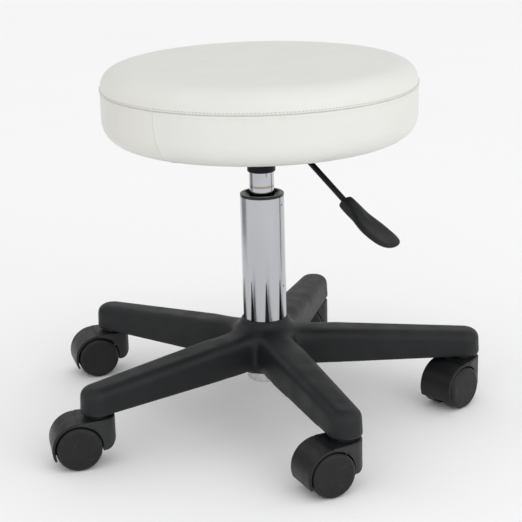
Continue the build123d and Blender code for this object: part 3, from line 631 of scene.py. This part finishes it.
def padding_field():
    """A function from points on the cushion's outline to how far its padding moves them."""
    rest, faces, moves = swell()
    r = np.hypot(rest[:, 0], rest[:, 1])
    crown = moves[(r < MEASURED) & (rest[:, 2] > SEAM_Z), 2].mean()
    moves = moves * (CROWN / max(crown, TINY))
    outward = (moves[:, 0] * rest[:, 0] + moves[:, 1] * rest[:, 1]) / np.maximum(r, TINY)
    half_way = abs(rest[:, 2] - (SEAM_Z + SEAT_BOTTOM) / 2) < MEASURED
    spread = outward[(r > SEAT_RADIUS - FORM_CELL) & half_way].mean()
    ease = np.clip((r / SEAT_RADIUS - EASE_START) / EASE_SPAN, 0, 1)
    for k in (0, 1):
        moves[:, k] -= spread * ease * rest[:, k] / np.maximum(r, TINY)
    size = np.linalg.norm(moves, axis=1, keepdims=True)
    moves = moves * np.minimum(1.0, MOST_MOVE / np.maximum(size, 1e-9))
    tree = BVHTree.FromPolygons([Vector(p) for p in rest], faces)
    corners_of = [np.array(f) for f in faces]

    def sampled(points):
        found = np.zeros_like(points)
        for i, p in enumerate(points):
            place, _, face, _ = tree.find_nearest(Vector(p))
            corners = corners_of[face]
            gap = np.linalg.norm(rest[corners] - np.array(place), axis=1)
            weight = 1.0 / (gap + 1e-4)
            found[i] = (moves[corners] * weight[:, None]).sum(0) / weight.sum()
        return found
    return sampled


GRID_SMOOTHING = 10
OWN_SHARE, ROUND_SHARE, PROFILE_SHARE = 0.4, 0.35, 0.25


def even_moves(points, around, along):
    """The padding's moves of a turned grid, evened out round it and along its profile."""
    grid = move_by_padding(points).reshape(around, along, 3)
    for _ in range(GRID_SMOOTHING):
        turn = (np.roll(grid, 1, 0) + np.roll(grid, -1, 0)) / 2
        padded = np.concatenate([grid[:, :1], grid, grid[:, -1:]], axis=1)
        step = (padded[:, :-2] + padded[:, 2:]) / 2
        grid = OWN_SHARE * grid + ROUND_SHARE * turn + PROFILE_SHARE * step
    return grid.reshape(-1, 3)


BAND_SEAM_ANGLE = math.radians(-148.1)
BAND_SEAM_LEAN = 0.02
BAND_SEAM_CURVE = 3.0
FINE_BEFORE, FINE_AFTER = 0.006, 0.015  # metres each side of that seam
FINE_STEP = 0.00035
move_by_padding = padding_field()


def angles_round():
    """Even angles, with finer ones beside the band's upright seam."""
    even = list(np.linspace(-math.pi, math.pi, AROUND, endpoint=False))
    first = BAND_SEAM_ANGLE - FINE_BEFORE / SEAT_RADIUS
    last = BAND_SEAM_ANGLE + FINE_AFTER / SEAT_RADIUS
    fine = list(np.arange(first, last, FINE_STEP / SEAT_RADIUS))
    return sorted([a for a in even if not first < a < last] + fine)


ANGLES = angles_round()

# relief across a seam, as bells of height, place and width in mm
ROUND_SEAM = ((-1.35, 0.0, 0.62), (0.34, 2.1, 1.3), (-0.16, 6.5, 3.0))
UPRIGHT_SEAM = ((1.35, 1.15, 0.8), (-1.6, 0.0, 0.5), (-0.45, -3.0, 2.4), (0.45, 4.5, 3.5))
# gathers beside a seam: size, waves per metre along it and away from it, and seed
GATHERS = ((1.0, 95, 30, 3.1), (0.5, 240, 60, 8.7))
TOP_GATHERS = {"reach": 0.006, "amount": 0.00042}
BAND_GATHERS = {"reach": 0.008, "amount": 0.00045}
# folds down the band: depth everywhere, and beside the upright seam within an angle
FOLD_DEPTH, FOLD_DEPTH_AT_SEAM, FOLD_REACH = 0.00016, 0.00030, 0.35
FOLD_SLANT, FOLDS_ROUND, FOLDS_DOWN, FOLD_SEED = 9, 13, 6, 21.0


def bells(mm, shapes):
    """The sum of some bell curves, in metres."""
    return 0.001 * sum(
        height * np.exp(-(((mm - centre) / width) ** 2)) for height, centre, width in shapes
    )


def angle_of(points):
    return np.arctan2(points[:, 1], points[:, 0])


def wander(x, y, seed):
    return noise.noise(Vector((x, y, seed)))


def puckers(points, d, reach, amount):
    """Small gathers beside a seam d metres away, at random along it."""
    run = angle_of(points) * SEAT_RADIUS
    found = np.zeros(len(points))
    for i in np.nonzero(d < 4 * reach)[0]:
        wave = sum(
            size * wander(run[i] * along, d[i] * away, seed) for size, along, away, seed in GATHERS
        )
        found[i] = amount * wave * math.exp(-d[i] / reach)
    return found


def upright_seam(points):
    """The band's closing seam: a sharp crease with the lap's raised edge to its right."""
    below = SEAM_Z - points[:, 2]
    lean = BAND_SEAM_LEAN * below + BAND_SEAM_CURVE * below**2
    beside = (angle_of(points) - BAND_SEAM_ANGLE) * SEAT_RADIUS - lean
    return bells(beside * 1000, UPRIGHT_SEAM)


def tension_folds(points):
    """Long shallow folds down the band, deepest either side of its seam."""
    a = angle_of(points)
    found = np.zeros(len(points))
    for i in range(len(points)):
        away = abs(a[i] - BAND_SEAM_ANGLE)
        depth = FOLD_DEPTH + FOLD_DEPTH_AT_SEAM * math.exp(-((away / FOLD_REACH) ** 2))
        slant = (points[i, 2] - SEAM_Z) * FOLD_SLANT
        found[i] = depth * wander(a[i] * FOLDS_ROUND + slant, points[i, 2] * FOLDS_DOWN, FOLD_SEED)
    return found


def outward_of(profile):
    """Unit normals of an outline, pointing out of the cushion."""
    ahead = np.gradient(profile, axis=0)
    size = np.maximum(np.hypot(ahead[:, 0], ahead[:, 1]), 1e-9)
    return np.stack([-ahead[:, 1] / size, ahead[:, 0] / size], axis=1)


def skin_points(outer, inner, relief):
    """A skin's turned points: the outer outline with its relief, and a plain inner one behind it."""
    around = len(ANGLES)
    grid_out = turned_grid(outer, ANGLES).reshape(-1, 3)
    normal = turned_grid(outward_of(outer), ANGLES).reshape(-1, 3)
    moves = even_moves(grid_out, around, len(outer))
    grid_out = grid_out + moves + normal * relief(grid_out)[:, None]
    grid_in = turned_grid(inner, ANGLES).reshape(-1, 3)
    grid_in = grid_in + even_moves(grid_in, around, len(inner))
    both = [grid_out.reshape(around, -1, 3), grid_in.reshape(around, -1, 3)]
    return np.concatenate(both, axis=1).reshape(-1, 3)


def soft_corner(count):
    """Points round the cover's top edge, easing out of the flat top and into the wall."""
    turn = np.radians(np.linspace(90, 0, count, endpoint=False))
    out = np.maximum(np.cos(turn), 0) ** (2 / EDGE_POWER)
    high = np.maximum(np.sin(turn), 0) ** (2 / EDGE_POWER)
    return np.array([SEAT_RADIUS - TOP_EASE + TOP_EASE * out, SEAM_Z + (SEAT_TOP - SEAM_Z) * high]).T


def build_top():
    """The round top panel, down to the seam."""
    eased = soft_corner(44)
    near_seam = SEAM_Z + np.array([3.6, 3.0, 2.5, 2.0, 1.6, 1.2, 0.8, 0.4, 0.0]) / 1000
    outer = np.vstack([
        line((CENTRE, SEAT_TOP), (SEAT_RADIUS - TOP_EASE, SEAT_TOP), 42),
        eased[eased[:, 1] > near_seam[0] + 0.0003],
        np.array([[SEAT_RADIUS, z] for z in near_seam]),
    ])
    depth = SKIN + 0.0008  # the top's skin is a little thicker than the band's
    inner = np.vstack([
        np.array([[SEAT_RADIUS - SEAM_TUCK, SEAM_Z + 0.0001]]),
        arc((TOP_FLAT, TOP_ARC_Z), TOP_EDGE - depth, 0, 90, 7),
        line((TOP_FLAT, SEAT_TOP - depth), (CENTRE, SEAT_TOP - depth), 8),
        np.array([[CENTRE, SEAT_TOP - depth]]),
    ])

    def relief(points):
        above_seam = points[:, 2] - SEAM_Z
        inward = SEAT_RADIUS - np.hypot(points[:, 0], points[:, 1])
        d = np.where(points[:, 2] < TOP_ARC_Z, above_seam, above_seam + 0.25 * inward)
        return bells(d * 1000, ROUND_SEAM) + puckers(points, d, **TOP_GATHERS)

    points = skin_points(outer, inner, relief)
    around, along = len(ANGLES), len(outer) + len(inner)
    rings = points.reshape(around, along, 3)
    ends = [tuple(rings[:, step].mean(axis=0)) for step in (0, along - 1)]
    faces = grid_faces(around, along, False)
    return turned_piece("cushion_top", points, faces, around, along, ends, finishes["white_vinyl"])


def build_band():
    """The side panel, from the seam down and round under the board."""
    margin = BOARD_RADIUS - MARGIN_WIDTH
    hidden = SEAT_RADIUS - SEAM_TUCK
    fine = SEAM_Z - np.concatenate([np.arange(0, 3.6, 0.4), np.arange(3.6, 8, 0.9)]) / 1000
    outer = np.vstack([
        np.array([[SEAT_RADIUS, z] for z in fine]),
        line((SEAT_RADIUS, fine[-1] - 0.001), (SEAT_RADIUS, LOW_ARC_Z), 12),
        arc((LOW_FLAT, LOW_ARC_Z), BOTTOM_EDGE, 0, -90, 24),
        line((LOW_FLAT, SEAT_BOTTOM), (margin, SEAT_BOTTOM), 8),
        np.array([[margin, SEAT_BOTTOM]]),
    ])
    inner = np.vstack([
        line((margin, SEAT_BOTTOM + SKIN), (LOW_FLAT, SEAT_BOTTOM + SKIN), 3),
        arc((LOW_FLAT, LOW_ARC_Z), BOTTOM_EDGE - SKIN, -90, 0, 7),
        line((SEAT_RADIUS - SKIN, LOW_ARC_Z), (SEAT_RADIUS - SKIN, SEAM_Z - 0.006), 3),
        np.array([[hidden, SEAM_Z - 0.003], [hidden, SEAM_Z - 0.0001]]),
    ])

    def relief(points):
        d = SEAM_Z - points[:, 2]
        under = np.clip((points[:, 2] - SEAT_BOTTOM) / 0.008, 0, 1)
        fold = upright_seam(points) * np.clip(0.25 + 0.75 * under, 0, 1)
        fold *= np.clip(d / 0.0015, 0, 1)
        slack = tension_folds(points) * under * np.clip(d / 0.004, 0, 1)
        return bells(d * 1000, ROUND_SEAM) + puckers(points, d, **BAND_GATHERS) + (fold + slack)

    points = skin_points(outer, inner, relief)
    faces = grid_faces(len(ANGLES), len(outer) + len(inner), True)
    piece = link_mesh("cushion_band", points, faces, finishes["white_vinyl"])
    point_outward(piece)
    return piece


def build_foam():
    """The foam block under the skins, hollowed out for the board."""
    inset = FOAM_INSET
    side = SEAT_RADIUS - inset
    gap = 0.0004  # round the board
    wall, roof = BOARD_RADIUS + gap, BOARD_TOP + gap
    padded = np.vstack([
        line((CENTRE, SEAT_TOP - inset), (TOP_FLAT, SEAT_TOP - inset), 16),
        arc((TOP_FLAT, TOP_ARC_Z), TOP_EDGE - inset, 90, 0, 10),
        line((side, TOP_ARC_Z), (side, LOW_ARC_Z), 9),
        arc((LOW_FLAT, LOW_ARC_Z), BOTTOM_EDGE - inset, 0, -80, 9),
    ])
    by_board = np.vstack([
        line((wall, SEAT_BOTTOM + inset), (wall, roof), 3),
        line((wall, roof), (CENTRE, roof), 10),
        np.array([[CENTRE, roof]]),
    ])
    around, along = 180, len(padded) + len(by_board)
    angles = np.linspace(-math.pi, math.pi, around, endpoint=False)
    grid = turned_grid(np.vstack([padded, by_board]), angles).reshape(-1, 3)
    moves = even_moves(grid, around, along)
    moves[np.arange(len(moves)) % along >= len(padded)] = 0
    grid = grid + moves
    ends = [(0, 0, float(grid[0][2])), (0, 0, float(roof))]
    faces = grid_faces(around, along, False)
    return turned_piece("foam_core", grid, faces, around, along, ends, finishes["foam"])


STITCH_PITCH = 0.0040
STITCH_LENGTH = 0.0029
STITCH_HEIGHT = 0.0029  # above the round seam
THREAD_THICK = 0.00050
THREAD_PROUD = 0.55  # of its thickness, at a stitch's middle
THREAD_DIVE = 10.4
THREAD_TAPER = 0.55
STITCH_SHAKE = 0.00012
STITCH_SLOPE = 0.00018
THREAD_SIDES = 6
THREAD_STEPS = 6


def stitch_ring(tree, a, height, share):
    """A ring of thread on the cushion's side at angle a, share of the way along its stitch."""
    outward = Vector((math.cos(a), math.sin(a), 0))
    probe = outward * (SEAT_RADIUS + 0.02)
    probe.z = height + STITCH_SLOPE * share
    place = tree.ray_cast(probe, -outward)[0]
    lift = THREAD_THICK * (THREAD_PROUD - THREAD_DIVE * abs(share) ** 3)
    size = THREAD_THICK * (1.0 - THREAD_TAPER * (2 * abs(share)) ** 3)
    centre = place + outward * lift
    ring = []
    for k in range(THREAD_SIDES):
        turn = 2 * math.pi * k / THREAD_SIDES
        ring.append(centre + Vector((0, 0, 1)) * math.cos(turn) * size + outward * math.sin(turn) * size)
    return ring


def build_stitches(cushion):
    """A row of lockstitches just above the round seam, each a short thread that dives in at its ends."""
    mesh = cushion.data
    tree = BVHTree.FromPolygons(
        [v.co.copy() for v in mesh.vertices], [tuple(p.vertices) for p in mesh.polygons]
    )
    count = int(2 * math.pi * SEAT_RADIUS / STITCH_PITCH)
    points, faces = [], []
    for index in range(count):
        base = len(points)
        middle = 2 * math.pi * index / count
        height = SEAM_Z + STITCH_HEIGHT + STITCH_SHAKE * wander(index * 1.7, 0.3, 5.0)
        for step in range(THREAD_STEPS + 1):
            share = step / THREAD_STEPS - 0.5
            a = middle + share * STITCH_LENGTH / SEAT_RADIUS
            points += [tuple(p) for p in stitch_ring(tree, a, height, share)]
        for step in range(THREAD_STEPS):
            near = base + step * THREAD_SIDES
            far = near + THREAD_SIDES
            for k in range(THREAD_SIDES):
                m = (k + 1) % THREAD_SIDES
                faces.append((near + k, near + m, far + m, far + k))
        last = base + THREAD_STEPS * THREAD_SIDES
        faces.append(tuple(base + k for k in range(THREAD_SIDES)))
        faces.append(tuple(last + k for k in reversed(range(THREAD_SIDES))))
    piece = link_mesh("seam_stitches", points, faces, thread_finish)
    point_outward(piece)
    return piece


cushion_top = build_top()
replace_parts(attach(cushion_top, "seat"), "seat_cover_top")

cushion_band = build_band()
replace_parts(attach(cushion_band, "seat"), "seat_cover_band")

foam_core = build_foam()
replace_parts(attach(foam_core, "seat"), "seat_foam")

seam_stitches = build_stitches(cushion_top)
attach(seam_stitches, "seat")


# ================================================================ the sleeve
WELD_DISTANCE = 0.000002
SHARP_ANGLE = math.radians(25)


def build_sleeve():
    """The chromed sleeve with crisp slit edges."""
    source = nodes["chrome_sleeve"].data
    faces = [tuple(p.vertices) for p in source.polygons]
    piece = link_mesh("sleeve_tube", [v.co for v in source.vertices], faces, finishes["chrome"])
    work = bmesh.new()
    work.from_mesh(piece.data)
    bmesh.ops.remove_doubles(work, verts=work.verts, dist=WELD_DISTANCE)
    work.to_mesh(piece.data)
    work.free()
    piece.data.set_sharp_from_angle(angle=SHARP_ANGLE)
    return piece


sleeve_tube = build_sleeve()
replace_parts(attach(sleeve_tube, "root"), "chrome_sleeve")


# ================================================================ the base
BASE_CELL = 0.0016
BLEND_REACH = 0.085  # radius at which the arms' roots stop being blended
BLEND_FADE = 0.030
BLEND_SHARE = 0.6
SLEEVE_MARGIN, SLEEVE_FADE = 0.001, 0.006  # the hub's rim at the sleeve stays as it is
RIM_MARGIN, RIM_FADE = 0.006, 0.014  # and so does its lower rim
ROOT_PASSES = 60
EDGE_PASSES, EDGE_SHARE = 3, 0.35  # a light round on every edge of the moulding


def ramp_up(values, start, span):
    return np.clip((values - start) / span, 0, 1)


def build_base():
    """The moulded star, with the arms' roots blended into the hub."""
    piece = bpy.data.objects.new("base_star", nodes["star_base"].data.copy())
    bpy.context.scene.collection.objects.link(piece)
    bpy.context.view_layer.objects.active = piece
    weld = piece.modifiers.new("weld", "WELD")
    weld.merge_threshold = 0.00001
    bpy.ops.object.modifier_apply(modifier="weld")
    apply_remesh(piece, BASE_CELL)
    mesh = piece.data
    place = vertex_places(mesh)
    mean = neighbour_mean(mesh)
    r = np.hypot(place[:, 0], place[:, 1])
    share = np.clip((BLEND_REACH - r) / BLEND_FADE, 0, 1)
    share = share * ramp_up(r - SLEEVE_RADIUS, SLEEVE_MARGIN, SLEEVE_FADE)
    blend = (BLEND_SHARE * share * share * (3 - 2 * share))[:, None]
    above_rim = ramp_up(place[:, 2] - RIM_Z, RIM_MARGIN, RIM_FADE)[:, None]
    roots = blend * np.concatenate([np.ones((len(place), 2)), above_rim], axis=1)
    for turn in range(ROOT_PASSES):
        strength = np.maximum(roots, EDGE_SHARE) if turn < EDGE_PASSES else roots
        place = place + strength * (mean(place) - place)
    mesh.vertices.foreach_set("co", place.ravel())
    mesh.polygons.foreach_set("use_smooth", [True] * len(mesh.polygons))
    mesh.materials.clear()
    mesh.materials.append(finishes["black_nylon"])
    mesh.update()
    return piece


base_star = build_base()
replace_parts(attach(base_star, "root"), "star_base")


# ================================================================ the lever's paddle
PADDLE_WIDEN = 1.10  # of the plain paddle's width
PADDLE_AROUND = 40
NECK_END = 0.3  # share of the length that is neck
NECK_POWER, BLADE_POWER = 3.2, 2.3  # how square the sections are
DISH_WIDTH = 0.78  # of the half width
RIDGE_HEIGHT, RIDGE_WIDTH = 0.0011, 0.30
RIDGE_MIDDLE, RIDGE_REACH = 0.36, 0.16  # shares of the length
# share of the length, half width, half height above and below, dish depth
PADDLE_SECTIONS = (
    (0.000, 0.37, 0.0052, 0.0052, 0.0),
    (0.004, 0.43, 0.0062, 0.0062, 0.0),
    (0.020, 0.48, 0.0070, 0.0070, 0.0),
    (0.110, 0.50, 0.0074, 0.0072, 0.0),
    (0.230, 0.53, 0.0074, 0.0068, 0.0002),
    (0.330, 0.66, 0.0066, 0.0060, 0.0008),
    (0.430, 0.83, 0.0054, 0.0052, 0.0016),
    (0.540, 0.96, 0.0046, 0.0048, 0.0018),
    (0.650, 0.99, 0.0042, 0.0046, 0.0017),
    (0.760, 0.99, 0.0039, 0.0044, 0.0015),
    (0.860, 0.93, 0.0036, 0.0042, 0.0012),
    (0.930, 0.78, 0.0032, 0.0038, 0.0008),
    (0.970, 0.58, 0.0027, 0.0032, 0.0004),
    (0.992, 0.36, 0.0018, 0.0022, 0.0),
    (1.000, 0.14, 0.0008, 0.0010, 0.0),
)


def lever_axes():
    """The rod's outer end, and the directions along it, across the lever and up."""
    rod = np.array([v.co for v in nodes["lever_rod"].data.vertices])
    joint = joints["lever_pull"]
    across = np.array(joint["axis"]) / np.linalg.norm(joint["axis"])
    distance = np.linalg.norm(rod - np.array(joint["pos_m"]), axis=1)
    end = rod[distance > distance.max() - 0.002].mean(0)
    # the rod's bend is the first ring of points back from its end face
    back = np.linalg.norm(rod - end, axis=1)
    bend = rod[abs(back - back[back > 0.010].min()) < 0.0004].mean(0)
    along = (end - bend) / np.linalg.norm(end - bend)
    up = np.cross(across, along)
    if up[2] < 0:
        up, across = -up, -across
    return end, along, across, up


def build_paddle():
    """A moulded paddle: a square-shouldered neck that opens into a dished blade."""
    end, along, across, up = lever_axes()
    away = np.array([v.co for v in nodes["lever_paddle"].data.vertices]) - end
    reach = away @ along
    start = end + along * reach.min()
    length = reach.max() - reach.min()
    wide = PADDLE_WIDEN * np.abs(away @ across).max()
    rise = (away[reach > reach.max() - 0.001] @ up).mean()
    made = []
    for share, half, above, below, dish in PADDLE_SECTIONS:
        power = 2 / (NECK_POWER if share < NECK_END else BLADE_POWER)
        ridge = RIDGE_HEIGHT * max(0.0, 1 - abs(share - RIDGE_MIDDLE) / RIDGE_REACH)
        for k in range(PADDLE_AROUND):
            turn = 2 * math.pi * k / PADDLE_AROUND
            c, s = math.cos(turn), math.sin(turn)
            x = math.copysign(abs(c) ** power, c)
            y = math.copysign(abs(s) ** power, s)
            height = (above if y > 0 else below) * y
            if y > 0:
                height += ridge * max(0.0, 1 - abs(x) / RIDGE_WIDTH)
                height -= dish * max(0.0, 1 - (x / DISH_WIDTH) ** 2)
            height += rise * share**2
            made.append(start + along * share * length + across * x * half * wide + up * height)
    faces = []
    last = len(made) - PADDLE_AROUND
    for row in range(0, last, PADDLE_AROUND):
        ahead = row + PADDLE_AROUND
        for k in range(PADDLE_AROUND):
            m = (k + 1) % PADDLE_AROUND
            faces.append((row + k, row + m, ahead + m, ahead + k))
    faces.append(tuple(range(PADDLE_AROUND)))
    faces.append(tuple(reversed(range(last, len(made)))))
    piece = link_mesh("paddle_grip", made, faces, finishes["black_hood"])
    point_outward(piece)
    bpy.context.view_layer.objects.active = piece
    rounder = piece.modifiers.new("round", "SUBSURF")
    rounder.levels = 2
    rounder.render_levels = 2
    bpy.ops.object.modifier_apply(modifier="round")
    return piece


paddle_grip = build_paddle()
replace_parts(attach(paddle_grip, "lever"), "lever_paddle")


# ================================================================ floor, light and camera
FLOOR_HALF = 14.0
VIEW_AZIMUTH = -109.8  # the camera's, round the column
FLAG_TOP = 0.32  # under the seat
SEAT_AIM = (0, 0, 0.30)
BRIGHTEST, DIMMEST = 1.24, 0.70  # the room, in front and behind
BRIGHTEST_AZIMUTH = VIEW_AZIMUTH + 20
KEY_AZIMUTH = VIEW_AZIMUTH + 42


def around_column(azimuth, distance, height):
    """A place at an azimuth in degrees and a distance from the column."""
    a = math.radians(azimuth)
    return (distance * math.cos(a), distance * math.sin(a), height)


def build_floor():
    """A large pale floor, a few steps of grid so that it shades evenly."""
    steps = 8
    ticks = np.linspace(-FLOOR_HALF, FLOOR_HALF, steps + 1)
    points = [(x, y, 0.0) for y in ticks for x in ticks]
    row = steps + 1
    faces = [
        (j * row + i, j * row + i + 1, (j + 1) * row + i + 1, (j + 1) * row + i)
        for j in range(steps) for i in range(steps)
    ]
    return link_mesh("floor", points, faces, floor_paint())


build_floor()


def glossy_card(name, azimuth, distance, width, shade):
    """A flag that only shows in reflections, standing at an azimuth round the column."""
    a = math.radians(azimuth)
    out = Vector((math.cos(a), math.sin(a), 0)) * distance
    side = Vector((-math.sin(a), math.cos(a), 0)) * width / 2
    points = [(p.x, p.y, z) for z in (0.0, FLAG_TOP) for p in (out - side, out + side)]
    material = bpy.data.materials.new(name)
    material.use_nodes = True
    bsdf = material.node_tree.nodes["Principled BSDF"]
    bsdf.inputs["Base Color"].default_value = grey(shade)
    bsdf.inputs["Roughness"].default_value = 0.9
    card = link_mesh(name, points, [(0, 1, 3, 2)], material, smooth=False)
    card.visible_camera = False
    card.visible_diffuse = False
    card.visible_shadow = False


glossy_card("flag_right", VIEW_AZIMUTH + 103, distance=0.55, width=0.060, shade=0.01)
glossy_card("flag_left", VIEW_AZIMUTH - 112, distance=0.70, width=0.50, shade=0.34)


def area_light(name, place, aim, size, power):
    """A rectangular lamp that faces aim."""
    lamp = bpy.data.lights.new(name, "AREA")
    lamp.shape = "RECTANGLE"
    lamp.size, lamp.size_y = size
    lamp.energy = power
    thing = bpy.data.objects.new(name, lamp)
    bpy.context.scene.collection.objects.link(thing)
    thing.location = place
    thing.rotation_euler = (Vector(aim) - Vector(place)).to_track_quat("-Z", "Y").to_euler()


area_light("key", around_column(KEY_AZIMUTH, 2.4, 1.15), SEAT_AIM, size=(1.5, 1.4), power=7.0)


def light_room():
    """A white room, brighter toward the front than behind."""
    world = bpy.data.worlds.new("studio")
    bpy.context.scene.world = world
    world.use_nodes = True
    tree = world.node_tree
    background = tree.nodes["Background"]
    direction = node(tree, "ShaderNodeTexCoord")
    toward = node(tree, "ShaderNodeVectorMath", operation="DOT_PRODUCT")
    toward.inputs[1].default_value = around_column(BRIGHTEST_AZIMUTH, 1.0, 0.0)
    tree.links.new(direction.outputs["Generated"], toward.inputs[0])
    brightness = node(tree, "ShaderNodeMapRange")
    brightness.inputs["From Min"].default_value = -1.0
    brightness.inputs["To Min"].default_value = DIMMEST
    brightness.inputs["To Max"].default_value = BRIGHTEST
    tree.links.new(toward.outputs["Value"], brightness.inputs["Value"])
    tree.links.new(brightness.outputs["Result"], background.inputs["Strength"])
    background.inputs["Color"].default_value = WHITE


light_room()

CAMERA_DISTANCE = 1.5604
CAMERA_HEIGHT = 0.6647
CAMERA_YAW = -0.002  # radians, as are pitch and roll
CAMERA_PITCH = 0.302
CAMERA_ROLL = -0.027
CAMERA_LENS = 98.16  # mm, as is the sensor
CAMERA_SENSOR = 36.0
CAMERA_CLIP = 60.0


def build_camera():
    """The camera, set out facing +Y and then turned about the column."""
    data = bpy.data.cameras.new("camera")
    data.sensor_width = CAMERA_SENSOR
    data.lens = CAMERA_LENS
    data.clip_end = CAMERA_CLIP
    ahead = Vector((
        math.sin(CAMERA_YAW) * math.cos(CAMERA_PITCH),
        math.cos(CAMERA_YAW) * math.cos(CAMERA_PITCH),
        -math.sin(CAMERA_PITCH),
    ))
    right = Vector((math.cos(CAMERA_YAW), -math.sin(CAMERA_YAW), 0))
    up = right.cross(ahead)
    tilted_right = right * math.cos(CAMERA_ROLL) + up * math.sin(CAMERA_ROLL)
    tilted_up = up * math.cos(CAMERA_ROLL) - right * math.sin(CAMERA_ROLL)
    turn = Matrix.Rotation(math.radians(VIEW_AZIMUTH + 90), 4, "Z")
    pose = Matrix.Identity(4)
    for column, axis in enumerate((tilted_right, tilted_up, -ahead)):
        for row in range(3):
            pose[row][column] = axis[row]
    pose.translation = Vector((0, -CAMERA_DISTANCE, CAMERA_HEIGHT))
    thing = bpy.data.objects.new("camera", data)
    bpy.context.scene.collection.objects.link(thing)
    thing.matrix_world = turn @ pose
    bpy.context.scene.camera = thing


build_camera()
bpy.context.scene.view_settings.view_transform = "Standard"
